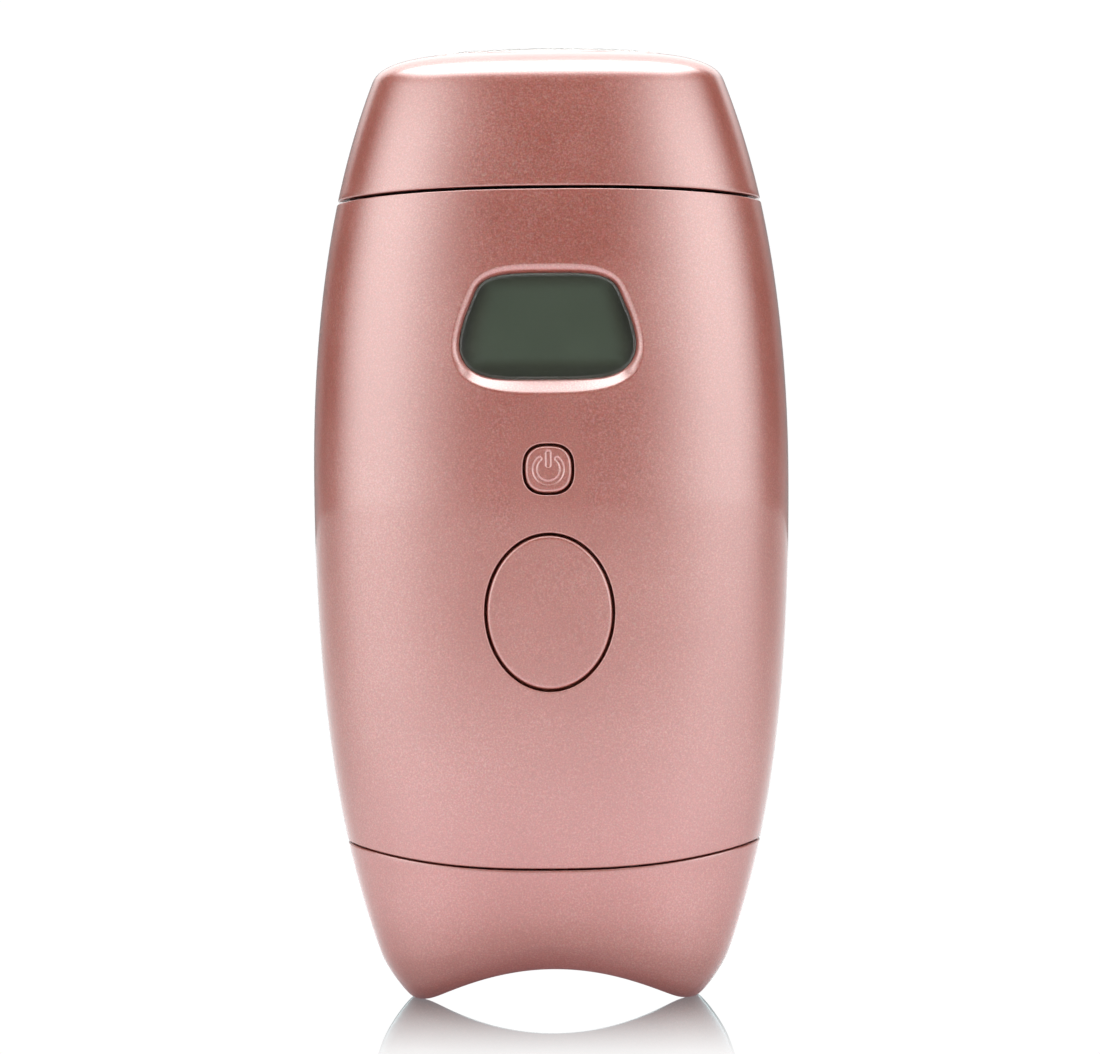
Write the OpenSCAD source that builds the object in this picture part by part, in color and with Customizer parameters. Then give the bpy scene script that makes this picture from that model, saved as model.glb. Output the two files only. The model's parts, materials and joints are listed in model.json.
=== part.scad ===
// Hand-held light-pulse hair remover, standing on its tail.
// Front faces -Y, +X is to the right of the front, +Z is up.
// Origin: on the ground between the two feet. Millimetres.

/* [Body] */
// Widest width, across the grip
body_w = 84.4; // [84.4:0.2:87]
// Deepest depth, front to back
body_d = 46; // [46:0.2:48]
// Height of the widest section above the feet
belly_z = 93; // [92:0.5:94]
// Wall thickness of the shells
wall = 2.2; // [1.8:0.1:2.2]
// Height of the crown of the lamp head
crown_z = 167.7; // [167.6:0.1:167.8]
// Roundness of the plan section, 2 is an ellipse
plan_power = 2.5; // [2.4:0.05:2.8]

/* [Seams] */
// Height of the seam under the lamp head, at the sides
head_seam_z = 141.1; // [141:0.1:141.3]
// Rise of that seam towards the middle of the front
head_seam_rise = 1.3; // [0.5:0.1:1.5]
// Gap under the lamp head
head_gap = 0.5; // [0.4:0.05:0.6]
// Height of the seam above the tail, at the sides
tail_seam_z = 27.9; // [27.5:0.1:28.3]
// Drop of that seam towards the middle of the front
tail_seam_drop = 4.2; // [3.8:0.1:4.4]
// Gap above the tail
tail_gap = 0.3; // [0.2:0.05:0.4]

/* [Tail] */
// Height of the arch between the feet
arch_h = 6.1; // [5.8:0.1:6.2]
// Half of the span of the arch on the ground
arch_x = 22; // [21.5:0.1:22.2]
// Half of the flat underside's width
foot_x = 24.6; // [24.4:0.1:24.8]
// Half of the flat underside's depth
foot_y = 11.5; // [11:0.1:12]
// Height of the rounding above the feet
foot_round = 8.5; // [8:0.1:9]

/* [Front panel] */
// Height of the display's middle
display_z = 118; // [117.5:0.1:118.2]
// Half of the display window's width
display_x = 14.97; // [14.5:0.05:15.1]
// Half of the display window's height
display_h = 9.27; // [9:0.05:9.4]
// How deep the rim round the display falls away to the window
rim_deep = 1.3; // [1.1:0.1:1.4]
// Height of the power button's middle
power_z = 93.3; // [93:0.1:93.6]
// Width of the opening for the power button
power_open = 8.96; // [8.8:0.02:9.2]
// Travel of the power button
power_travel = 0.5; // [0.3:0.05:0.5]
// Height of the flash button's middle
flash_z = 68.5; // [68.2:0.1:68.8]
// Width of the opening for the flash button
flash_w = 22.7; // [22:0.1:23]
// Height of the opening for the flash button
flash_h = 27.6; // [27:0.1:28]
// Travel of the flash button
flash_travel = 0.7; // [0.4:0.05:0.7]
// Gap around the buttons
button_gap = 0.4; // [0.35:0.05:0.6]

/* [Lamp window] */
// Length of the window glass
glass_w = 32.4; // [32:0.1:32.4]
// Depth of the window glass
glass_d = 10; // [9.6:0.1:10]
// How far the glass stands above the crown
glass_proud = 0.4; // [0.3:0.1:0.5]

/* [Fan] */
// Side of the square fan
fan_side = 40; // [38:0.5:40]
// Number of fan blades
fan_blades = 7; // [5:1:9]

/* [Hidden] */
$fn = 48;
eps = 0.02;

rose = [0.78, 0.54, 0.52];
white_part = [0.92, 0.92, 0.9];
black_part = [0.13, 0.13, 0.14];
board_green = [0.10, 0.32, 0.20];
brass = [0.80, 0.64, 0.30];
steel = [0.66, 0.67, 0.69];
clear_part = [0.82, 0.88, 0.90];

// ---------- outline of the body ----------
// Half widths and half depths fall off from the belly as c2 d^2 + c4 d^4, with the two
// factors set by the size at two heights.
up_z1 = 143; up_z2 = 162.7; dn_z1 = 26.2; dn_z2 = 5;
seam_w = [body_w/2 - 5.0, body_w/2 - 5.95];    // at up_z1, dn_z1
end_w = [body_w/2 - 11.0, body_w/2 - 12.5];   // at up_z2, dn_z2
seam_d = [body_d/2 - 2.5, body_d/2 - 3.0];
end_d = [body_d/2 - 6.8, body_d/2 - 6.2];

function quart(a, b, d1, d2) = (b/(d2*d2) - a/(d1*d1))/(d2*d2 - d1*d1);
function quad(a, b, d1, d2) = a/(d1*d1) - quart(a, b, d1, d2)*d1*d1;
function fall(d, a, b, d1, d2) = quad(a, b, d1, d2)*d*d + quart(a, b, d1, d2)*pow(d, 4);
function half_w(z) = z > belly_z
    ? body_w/2 - fall(z - belly_z, body_w/2 - seam_w[0], body_w/2 - end_w[0], up_z1 - belly_z, up_z2 - belly_z)
    : body_w/2 - fall(belly_z - z, body_w/2 - seam_w[1], body_w/2 - end_w[1], belly_z - dn_z1, belly_z - dn_z2);
function half_d(z) = z > belly_z
    ? body_d/2 - fall(z - belly_z, body_d/2 - seam_d[0], body_d/2 - end_d[0], up_z1 - belly_z, up_z2 - belly_z)
    : body_d/2 - fall(belly_z - z, body_d/2 - seam_d[1], body_d/2 - end_d[1], belly_z - dn_z1, belly_z - dn_z2);
function smooth(t) = t <= 0 ? 0 : t >= 1 ? 1 : t*t*(3 - 2*t);
function plan_n(z) = plan_power + 0.7*smooth((24 - z)/24);
function spow(v, p) = sign(v)*pow(abs(v), p);
// even spacing round the section
function warp(u) = u - 5*sin(4*u);
function oval(phi, a, b, n) = [a*spow(sin(phi), 2/n), -b*spow(cos(phi), 2/n)];
function skin(phi, z, inset) = let (p = oval(phi, half_w(z) - inset, half_d(z) - inset, plan_n(z)))
    [p[0], p[1], z];
// y of the front surface at x, z
function front_y(x, z, inset) = -(half_d(z) - inset)
    *pow(max(0, 1 - pow(abs(x)/(half_w(z) - inset), plan_n(z))), 1/plan_n(z));
function head_seam(phi) = head_seam_z + head_seam_rise*cos(phi)*cos(phi);
function tail_seam(phi) = tail_seam_z - tail_seam_drop*cos(phi)*cos(phi);

// ---------- helpers ----------
function ring_faces(n, m) = [for (k = [0:m - 1]) let (k2 = (k + 1) % m) for (j = [0:n - 1])
    let (j2 = (j + 1) % n, a = k*n + j, b = k*n + j2, c = k2*n + j2, d = k2*n + j)
    each [[a, d, c], [a, c, b]]];
module ring_solid(rings) {
    n = len(rings[0]);
    polyhedron([for (r = rings) each r], ring_faces(n, len(rings)), convexity = 8);
}

function catmull(p0, p1, p2, p3, t) = 0.5*(2*p1 + (p2 - p0)*t + (2*p0 - 5*p1 + 4*p2 - p3)*t*t
    + (3*p1 - p0 - 3*p2 + p3)*t*t*t);
function curve(p, steps) = concat([for (i = [0:len(p) - 2], s = [0:steps - 1])
    catmull(p[max(i - 1, 0)], p[i], p[i + 1], p[min(i + 2, len(p) - 1)], s/steps)], [p[len(p) - 1]]);
function unit(v) = v/norm(v);
module lead(route, r, steps = 4) {
    pts = curve(route, steps);
    m = len(pts);
    sides = 8;
    rings = [for (i = [0:m - 1])
        let (t = unit(pts[min(i + 1, m - 1)] - pts[max(i - 1, 0)]),
             u = unit(cross(t, [0.92, 0.31, 0.24])), v = cross(t, u))
        [for (k = [0:sides - 1]) pts[i] + r*(u*cos(360*k/sides) + v*sin(360*k/sides))]];
    body = [for (i = [0:m - 2], k = [0:sides - 1]) let (k2 = (k + 1) % sides,
        a = i*sides + k, b = i*sides + k2, c = (i + 1)*sides + k2, d = (i + 1)*sides + k)
        each [[a, d, c], [a, c, b]]];
    ends = concat([for (k = [1:sides - 2]) [0, k, k + 1]],
        [for (k = [1:sides - 2]) [(m - 1)*sides, (m - 1)*sides + k + 1, (m - 1)*sides + k]]);
    polyhedron([for (r = rings) each r], concat(body, ends), convexity = 6);
}

// box between two corners
module block(a, b) translate(a) cube(b - a);
// cylinder along Y from y0 to y1
module ycyl(x, z, r, y0, y1) translate([x, y0, z]) rotate([-90, 0, 0]) cylinder(r = r, h = y1 - y0);
// cylinder along X from x0 to x1
module xcyl(y, z, r, x0, x1) translate([x0, y, z]) rotate([0, 90, 0]) cylinder(r = r, h = x1 - x0);
module zcyl(x, y, r, z0, z1) translate([x, y, z0]) cylinder(r = r, h = z1 - z0);
// rounded rectangle, full sizes
module rrect(w, d, r) {
    square([w - 2*r, d], center = true);
    square([w, d - 2*r], center = true);
    for (i = [-1, 1], j = [-1, 1]) translate([i*(w/2 - r), j*(d/2 - r)]) circle(r = r);
}
// flat outline in X and Z, pushed along Y from y0 to y1, its origin at height z
module push(z, y0, y1) translate([0, y1, z]) rotate([90, 0, 0]) linear_extrude(height = y1 - y0) children();
// solid under the front surface over a rectangle, back to y1
module under_skin(x0, z0, z1, inset, y1, nx = 12, nz = 10) {
    grid = [for (i = [0:nz], j = [0:nx]) let (x = -x0 + 2*x0*j/nx, z = z0 + (z1 - z0)*i/nz)
        [x, front_y(x, z, inset), z]];
    back = [for (i = [0:nz], j = [0:nx]) [-x0 + 2*x0*j/nx, y1, z0 + (z1 - z0)*i/nz]];
    w = nx + 1;
    o = (nz + 1)*w;
    top = [for (i = [0:nz - 1], j = [0:nx - 1]) let (a = i*w + j, b = a + 1, c = a + w + 1, d = a + w)
        each [[a, d, c], [a, c, b]]];
    low = [for (t = top) [t[0] + o, t[2] + o, t[1] + o]];
    sides = concat(
        [for (i = [0:nz - 1]) let (a = i*w, d = a + w) each [[d, a, a + o], [d, a + o, d + o]]],
        [for (i = [0:nz - 1]) let (b = i*w + nx, c = b + w) each [[b, c, c + o], [b, c + o, b + o]]],
        [for (j = [0:nx - 1]) let (a = j, b = j + 1) each [[a, b, b + o], [a, b + o, a + o]]],
        [for (j = [0:nx - 1]) let (d = nz*w + j, c = d + 1) each [[c, d, d + o], [c, d + o, c + o]]]);
    polyhedron(concat(grid, back), concat(top, low, sides), convexity = 4);
}

// display outline: a rounded trapezium, wider at the bottom
function display_pts(hw, hh, narrow, n, m = 72) = [for (k = [0:m - 1])
    let (t = 360*k/m, u = spow(cos(t), 2/n), v = spow(sin(t), 2/n))
    [(hw - narrow*smooth((v + 0.25)/1.15))*u, hh*v]];
module display_shape(grow = 0) polygon(display_pts(display_x + grow, display_h + grow, 1.95, 4));
rim_pts = [for (p = display_pts(display_x + 1.44, display_h + 1.85, 2.1, 3.5)) p + [0, -0.4]];
module rim_shape() polygon(rim_pts);
// ring of the falling rim: f 0 is its outer edge, 1 the edge of the window
function rim_ring(f, deep, grow = 0.08) = let (w = display_pts(display_x + grow, display_h + grow, 1.95, 4))
    [for (k = [0:len(w) - 1]) let (p = rim_pts[k] + (w[k] - rim_pts[k])*f, z = display_z + p[1])
        [p[0], front_y(p[0], z, 0) + deep, z]];
function ellipse_pts(a, b, m = 72) = [for (k = [0:m - 1]) [a*cos(360*k/m), b*sin(360*k/m)]];
module flash_shape(grow = 0) polygon(ellipse_pts(flash_w/2 + grow, flash_h/2 + grow));
module power_shape(grow = 0) polygon([for (k = [0:71]) (power_open/2 + grow)*[spow(cos(5*k), 2/2.64), spow(sin(5*k), 2/2.64)]]);

// ---------- shells ----------
// one half of the middle section: turn 0 is the front, 180 the rear
module half_shell(turn) {
    m = 18;
    k = 30;
    edge = 89.95;
    function at(i, j, inset) = let (u = -90 + 180*j/k, p = max(-edge, min(edge, warp(u))) + turn,
        lo = tail_seam(p) + tail_gap/2, hi = head_seam(p) - head_gap/2)
        skin(p, lo + (hi - lo)*i/m, inset);
    pts = concat([for (i = [0:m], j = [0:k]) at(i, j, 0)], [for (i = [0:m], j = [0:k]) at(i, j, wall)]);
    w = k + 1;
    o = (m + 1)*w;
    outer = [for (i = [0:m - 1], j = [0:k - 1]) let (a = i*w + j, b = a + 1, c = a + w + 1, d = a + w)
        each [[a, d, c], [a, c, b]]];
    inner = [for (t = outer) [t[0] + o, t[2] + o, t[1] + o]];
    sides = concat(
        [for (i = [0:m - 1]) let (a = i*w, d = a + w) each [[d, a, a + o], [d, a + o, d + o]]],
        [for (i = [0:m - 1]) let (b = i*w + k, c = b + w) each [[b, c, c + o], [b, c + o, b + o]]],
        [for (j = [0:k - 1]) let (a = j, b = j + 1) each [[a, b, b + o], [a, b + o, a + o]]],
        [for (j = [0:k - 1]) let (d = m*w + j, c = d + 1) each [[c, d, d + o], [c, d + o, c + o]]]);
    polyhedron(pts, concat(outer, inner, sides), convexity = 8);
}

module front_shell() color(rose) difference() {
    union() {
        half_shell(0);
        intersection() {
            under_skin(18.5, display_z - 13, display_z + 13, 0.6, -18.9, 16, 12);
            push(display_z, -30, -10) rim_shape();
        }
    }
    push(display_z, -40, -15) display_shape(0.08);
    ring_solid(concat(
        [for (f = [1, 0.75, 0.5, 0.3, 0.15, 0]) rim_ring(f, rim_deep*pow(f, 1.4))],
        [rim_ring(0, -1.5), rim_ring(1, -1.5, -1.5), rim_ring(1, rim_deep, -1.5)]));
    push(power_z, -40, -15) power_shape();
    push(flash_z, -40, -15) flash_shape();
}

module rear_shell() color(rose) difference() {
    half_shell(180);
    // intake grille behind the fan
    for (i = [-4:4]) let (l = 2*sqrt(14.5*14.5 - 9*i*i)) {
        block([-l/2, 12, 106 + 3.2*i - 0.8], [l/2, 30, 106 + 3.2*i + 0.8]);
        for (s = [-1, 1]) ycyl(s*l/2, 106 + 3.2*i, 0.8, 12, 30);
    }
    // outlets on both sides
    for (i = [0:4], s = [-1, 1]) {
        block([s > 0 ? 31 : -46, 6.5, 102 + 4*i - 0.8], [s > 0 ? 46 : -31, 11.5, 102 + 4*i + 0.8]);
        for (y = [6.5, 11.5]) xcyl(y, 102 + 4*i, 0.8, s > 0 ? 31 : -46, s > 0 ? 46 : -31);
    }
}

ring_n = 56;
ring_u = [for (j = [0:ring_n - 1]) warp(360*j/ring_n)];

// lamp head housing
// the crown closes in later and more squarely across the width than across the depth
side_from = 162.3;
front_from = 160.8;
function crown_sx(z) = z <= side_from ? 1 : pow(max(1e-6, 1 - pow((z - side_from)/(crown_z - side_from), 2.6)), 1/3.85);
function crown_sy(z) = z <= front_from ? 1 : pow(max(1e-6, 1 - pow((z - front_from)/(crown_z - front_from), 2.6)), 1/2.6);
function head_ring(z, inset) = [for (p = ring_u) let (c = z + inset*0.9*smooth((z - 150)/10),
    q = oval(p, half_w(z)*crown_sx(c) - inset, half_d(z)*crown_sy(c) - inset, plan_n(z))) [q[0], q[1], z]];
open_x = 19.5;
open_y = 6.9;
function in_crown(x, y, z) = pow(abs(x)/(half_w(z)*crown_sx(z)), plan_power)
    + pow(abs(y)/(half_d(z)*crown_sy(z)), plan_power) < 1;
function crown_top(x, y, lo = 158, hi = crown_z, k = 0) = let (m = (lo + hi)/2) k > 24 ? m
    : in_crown(x, y, m) ? crown_top(x, y, m, hi, k + 1) : crown_top(x, y, lo, m, k + 1);
function open_ring(f, drop) = [for (p = ring_u)
    let (o = oval(p, open_x, open_y, 6), z = crown_z - 1.4,
         q = oval(p, half_w(z)*crown_sx(z) - drop, half_d(z)*crown_sy(z) - drop, plan_n(z)),
         x = q[0] + (o[0] - q[0])*f, y = q[1] + (o[1] - q[1])*f)
    [x, y, crown_top(x, y) - drop]];
function wall_ring(f, inset) = [for (p = ring_u) let (low = head_seam(p) + head_gap/2)
    skin(p, low + (157.5 - low)*f, inset)];
module head_shell() color(rose) {
    ring_solid(concat(
        [for (f = [0, 0.25, 0.5, 0.75, 1]) wall_ring(f, 0)],
        [for (z = [159.2, 160.8, 162, 163, 163.9, 164.7, 165.4, 166]) head_ring(z, 0)],
        [for (f = [0.1, 0.4, 0.7, 1]) open_ring(f, 0)],
        [for (f = [1, 0.5]) open_ring(f, wall)],
        [for (z = [163.6, 162.2, 160.4]) head_ring(z, wall)],
        [for (f = [1, 0.75, 0.5, 0.25, 0]) wall_ring(f, wall)]));
}

// tail cap: arched underside, two feet, a lip that enters the shells, two screw pillars
function arch(x) = abs(x) >= arch_x ? 0 : arch_h*pow(1 - pow(x/arch_x, 2), 1.15);
function foot_k(q) = q >= foot_round ? 1 : sqrt(max(0, 1 - pow(1 - q/foot_round, 2)));
function tail_pt(p, q, inset) = let (
    z = q - tail_seam_drop*cos(p)*cos(p)*smooth((q - 14)/(tail_seam_z - 14)),
    k = foot_k(z), a = foot_x + (half_w(z) - foot_x)*k, b = foot_y + (half_d(z) - foot_y)*k,
    o = oval(p, a - inset, b - inset, plan_n(z)))
    [o[0], o[1], z + arch(o[0])*(1 - smooth(q/15))];
function tail_ring(q, inset, up = 0) = [for (p = ring_u) let (t = tail_pt(p, q, inset)) [t[0], t[1], t[2] + up]];
jack_open = 4.25;
function under_ring(f, inset, up) = [for (p = ring_u) let (
    o = oval(p, foot_x - inset, foot_y - inset, plan_n(0)), c = [jack_open*sin(p), -jack_open*cos(p)],
    x = c[0] + (o[0] - c[0])*f, y = c[1] + (o[1] - c[1])*f) [x, y, arch(x) + up]];
tail_post = [14, 5];
module tail_cap() color(rose) difference() {
    union() {
        ring_solid(concat(
            [for (f = [0, 0.2, 0.4, 0.58, 0.74, 0.86, 0.93]) under_ring(f, 0, 0)],
            [for (q = [0, 0.25, 1, 2.2, 3.8, 6, foot_round, 11.5, 15, 19, 23.5, tail_seam_z - tail_gap/2])
                tail_ring(q, 0)],
            [tail_ring(tail_seam_z - tail_gap/2, wall + 0.2), tail_ring(tail_seam_z, wall + 0.2, 3.8),
             tail_ring(tail_seam_z, wall + 1.7, 3.8), tail_ring(tail_seam_z, wall + 1.7),
             tail_ring(23, wall + 1.7), tail_ring(21, wall)],
            [for (q = [17, 13, 9, 6, 3.6, 2]) tail_ring(q, wall)],
            [for (f = [0.8, 0.58, 0.36, 0.16, 0]) under_ring(f, wall, wall)]));
        for (s = [-1, 1]) zcyl(s*tail_post[0], tail_post[1], 4.5, 4.65, 29.5);
    }
    for (s = [-1, 1]) {
        zcyl(s*tail_post[0], tail_post[1], 3.1, -2, 14);
        zcyl(s*tail_post[0], tail_post[1], 1.65, 13, 31);
    }
}

// ---------- chassis and socket ----------
board_x = 23;
main_z = [39.5, 80.5];
ctrl_x = 18.6;
ctrl_z = [60.5, 101.5];
sock_x = 16;
sock_y = -4.9;
module inner_frame() color(black_part) difference() {
    union() {
        block([-26, -10.4, 33], [26, -8.4, 127]);
        block([-24, -8.4 - eps, 33], [24, 9, 36]);
        for (s = [-1, 1]) {
            block([s > 0 ? 24 : -26, -8.4 - eps, 33], [s > 0 ? 26 : -24, 9.8, 84]);
            for (z = main_z) ycyl(s*board_x, z, 2.8, -8.4 - eps, 9.8);
            for (z = ctrl_z) ycyl(s*ctrl_x, z, 2.2, -12.4, -10.4 + eps);
            zcyl(s*tail_post[0], tail_post[1], 3.5, 29.7, 46);
            zcyl(s*sock_x, sock_y, 2.6, 108, 127.7);
            block([s*sock_x - 1.2, -8.4 - eps, 108], [s*sock_x + 1.2, sock_y, 127.7]);
        }
    }
    for (s = [-1, 1]) {
        for (z = main_z) ycyl(s*board_x, z, 0.92, 1, 10);
        for (z = ctrl_z) ycyl(s*ctrl_x, z, 0.82, -13, -8);
        zcyl(s*tail_post[0], tail_post[1], 1.42, 29, 44);
        zcyl(s*sock_x, sock_y, 1.12, 114, 128);
    }
    // windows that lighten the plate
    block([-12, -11, 90], [12, -8, 104]);
    block([-12, -11, 62], [12, -8, 78]);
}

plug_x = 27;
plug_y = 7.5;
sleeve_x = 23.5;
module plate_shape(z, inset) polygon([for (j = [0:95])
    oval(warp(360*j/96), half_w(z) - inset, half_d(z) - inset, plan_n(z))]);
module head_socket() color(black_part) difference() {
    union() {
        translate([0, 0, 135]) linear_extrude(height = 5.6) plate_shape(140.6, wall + 0.3);
        translate([0, 0, 127.8]) linear_extrude(height = 8) rrect(2*plug_x + 5, 2*plug_y + 5, 3.5);
    }
    translate([0, 0, 131.2]) linear_extrude(height = 12) rrect(2*plug_x + 0.6, 2*plug_y + 0.6, 2.3);
    for (s = [-1, 1]) {
        zcyl(s*sleeve_x, 0, 2.22, 127, 132);
        zcyl(s*sock_x, sock_y, 1.3, 127, 132);
        zcyl(s*sock_x, sock_y, 2.5, 129.2, 132);
        translate([0, s*13.2, 134]) linear_extrude(height = 8) rrect(36, 2.6, 1.2);
    }
}
module socket_sleeves() color(brass) for (s = [-1, 1]) difference() {
    zcyl(s*sleeve_x, 0, 2.2, 122, 131);
    zcyl(s*sleeve_x, 0, 1.15, 123.4, 132);
}
// pan-head screw along +Z with its seat at z0, cross recess below the head
module screw(r, l, hr, hh) difference() {
    union() {
        translate([0, 0, -eps]) cylinder(r = r, h = l + eps);
        translate([0, 0, -hh]) cylinder(r = hr, h = hh);
    }
    for (a = [0, 90]) rotate([0, 0, a]) translate([-hr*0.6, -hr*0.14, -hh - 1]) cube([hr*1.2, hr*0.28, 1 + hh*0.55]);
}
module socket_screws() color(steel) for (s = [-1, 1])
    translate([s*sock_x, sock_y, 129.2]) rotate([180, 0, 0]) screw(1.1, 12, 2.3, 1.7);
module tail_screws() color(steel) for (s = [-1, 1])
    translate([s*tail_post[0], tail_post[1], 14]) screw(1.4, 28, 2.8, 2.2);

// ---------- display and keys ----------
lcd_front = -17.8;
module display_window() color(clear_part) intersection() {
    under_skin(17, display_z - 11, display_z + 11, rim_deep - 0.1, -18.4, 14, 10);
    push(display_z, -30, -10) display_shape(-0.06);
}
module display_gasket() color(black_part) push(display_z, -18.4, lcd_front) difference() {
    display_shape(-0.2);
    display_shape(-0.7);
}
module lcd_panel() color([0.24, 0.31, 0.26]) block([-15.6, lcd_front, display_z - 9.9], [15.6, lcd_front + 1.9, display_z + 9.9]);
module lcd_holder() color(white_part) difference() {
    block([-16.4, lcd_front + 1.9, display_z - 10.7], [16.4, -13.6, display_z + 10.7]);
    block([-13, lcd_front + 2.9, display_z - 7.5], [13, -13, display_z + 7.5]);
}
module control_board() color(board_green) difference() {
    push(93.5, -13.6, -12.4) rrect(42, 75, 2);
    for (s = [-1, 1], z = ctrl_z) ycyl(s*ctrl_x, z, 1.1, -14, -12);
}
module control_screws() color(steel) for (s = [-1, 1], z = ctrl_z)
    translate([s*ctrl_x, -13.6, z]) rotate([-90, 0, 0]) screw(0.8, 5, 1.8, 1.3);
module control_parts() color(black_part) {
    block([-4, -12.4, 84], [4, -11, 92]);
    block([-6, -12.4, 57], [6, -10.9, 60]);
    for (i = [0:3]) block([-18 + 4*i, -12.4, 66], [-15.6 + 4*i, -11.4, 67.4]);
}
module key_switch(z, w) {
    difference() {
        push(z, -17.1, -13.6) rrect(w, w, 0.5);
        ycyl(0, z, 1.75, -18, -14.6);
    }
}
module power_switch() color(black_part) key_switch(power_z, 6);
module flash_switch() color(black_part) key_switch(flash_z, 6);
module plunger(z) ycyl(0, z, 1.7, -18.2, -15.5);
module power_plunger() color(white_part) plunger(power_z);
module flash_plunger() color(white_part) plunger(flash_z);
module power_button() color(rose) {
    difference() {
        intersection() {
            under_skin(6, power_z - 6, power_z + 6, 0, -19.2, 8, 8);
            push(power_z, -30, -10) power_shape(-button_gap);
        }
        // power symbol: a broken ring and a bar, sunk
        push(power_z, -30, -22.8) {
            difference() {
                circle(r = 2.89);
                circle(r = 1.83);
                polygon([[0, 0], [3.2, 4.2], [-3.2, 4.2]]);
            }
            translate([-0.59, 0.16]) square([1.18, 3.26]);
        }
    }
    push(power_z, -20.3, -19.2 + eps) power_shape(0.9);
    ycyl(0, power_z, 1.5, -19.2, -18.2);
}
module flash_button() color(rose) {
    intersection() {
        under_skin(12.5, flash_z - 15, flash_z + 15, 0, -18.6, 12, 12);
        push(flash_z, -30, -10) flash_shape(-button_gap);
    }
    push(flash_z, -19.5, -18.6 + eps) flash_shape(1.1);
    ycyl(0, flash_z, 2, -18.6, -18.2);
}

// ---------- power section ----------
module main_board() color(board_green) difference() {
    push(60, 9.8, 11.4) rrect(52, 48, 2);
    for (s = [-1, 1], z = main_z) ycyl(s*board_x, z, 1.2, 9, 12);
}
module main_screws() color(steel) for (s = [-1, 1], z = main_z)
    translate([s*board_x, 11.4, z]) rotate([90, 0, 0]) screw(0.9, 7, 2, 1.4);
cap_r = 8.4;
module flash_capacitors() color([0.16, 0.17, 0.20]) for (s = [-1, 1]) translate([s*9.4, 0.9, 47.5])
    rotate_extrude() polygon([[0, 0], [cap_r - 0.8, 0], [cap_r, 0.8], [cap_r, 2.4], [cap_r - 0.6, 3],
        [cap_r - 0.6, 3.8], [cap_r, 4.4], [cap_r, 35], [cap_r - 0.8, 35.8], [0, 35.8]]);
module charge_transformer() color([0.75, 0.62, 0.28]) {
    block([-19.5, -8.2, 36.2], [-16, 1.2, 46]);
    block([-6.5, -8.2, 36.2], [-3, 1.2, 46]);
    xcyl(-3.5, 41.1, 4.4, -16 - eps, -6.5 + eps);
}
module trigger_coil() color([0.55, 0.20, 0.12]) {
    zcyl(11, -3.4, 4.6, 37.4, 46.2);
    block([6, -8.2, 36.1], [16, 1.4, 37.4 + eps]);
}
module heat_sink() color(steel) {
    block([-12, 11.4, 56], [12, 12.9, 77]);
    for (i = [0:5]) block([-12 + 4.56*i, 12.9 - eps, 56], [-10.8 + 4.56*i, 17, 77]);
}
module terminals() color([0.16, 0.36, 0.24]) {
    for (s = [-1, 1]) block([s > 0 ? 15 : -21, 11.4, 70], [s > 0 ? 21 : -15, 16.4, 77]);
    block([4, 11.4, 78.2], [12, 15.2, 82]);
}
fan_z = 106;
fan_y = [7.6, 17.6];
module fan_frame() color(black_part) {
    difference() {
        push(fan_z, fan_y[0], fan_y[1]) rrect(fan_side, fan_side, 2.5);
        ycyl(0, fan_z, fan_side/2 - 1, fan_y[0] - 1, fan_y[1] + 1);
        for (i = [-1, 1], j = [-1, 1]) ycyl(i*(fan_side/2 - 3.2), fan_z + j*(fan_side/2 - 3.2), 1.35, 7, 18);
    }
    // motor seat on three struts
    difference() {
        union() {
            ycyl(0, fan_z, 8, fan_y[0], fan_y[0] + 1.4);
            ycyl(0, fan_z, 2.6, fan_y[0], fan_y[0] + 6);
            intersection() {
                for (a = [30, 150, 270]) translate([0, fan_y[0], fan_z]) rotate([0, a, 0]) cube([fan_side/2, 1.4, 2.2]);
                ycyl(0, fan_z, fan_side/2 - 0.5, fan_y[0] - 1, fan_y[1] + 1);
            }
        }
        ycyl(0, fan_z, 1.6, fan_y[0] + 1, fan_y[1]);
    }
}
module fan_bearing() color(brass) difference() {
    ycyl(0, fan_z, 1.58, fan_y[0] + 1.05, fan_y[0] + 5.9);
    ycyl(0, fan_z, 0.78, fan_y[0], fan_y[0] + 7);
}
module fan_shaft() color(steel) ycyl(0, fan_z, 0.75, fan_y[0] + 1.3, fan_y[0] + 8.4);
module fan_rotor() color([0.22, 0.22, 0.24]) {
    difference() {
        ycyl(0, fan_z, 8, fan_y[0] + 2, fan_y[0] + 8.6);
        ycyl(0, fan_z, 7, fan_y[0], fan_y[0] + 7.4);
        ycyl(0, fan_z, 0.75, fan_y[0], fan_y[0] + 8.4);
    }
    intersection() {
        for (i = [0:fan_blades - 1]) translate([0, fan_y[0] + 5.3, fan_z]) rotate([0, 360*i/fan_blades, 0])
            translate([7.6, 0, 0]) rotate([38, 0, 0]) translate([0, -0.5, -4.6]) cube([12, 1, 9.2]);
        difference() {
            ycyl(0, fan_z, fan_side/2 - 1.7, fan_y[0] + 2, fan_y[0] + 8.6);
            ycyl(0, fan_z, 7.5, fan_y[0] + 1, fan_y[0] + 9);
        }
    }
}
module fan_screws() color(steel) for (i = [-1, 1], j = [-1, 1])
    translate([i*(fan_side/2 - 3.2), fan_y[1], fan_z + j*(fan_side/2 - 3.2)]) rotate([90, 0, 0]) screw(1.25, 15, 2, 0.5);
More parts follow.
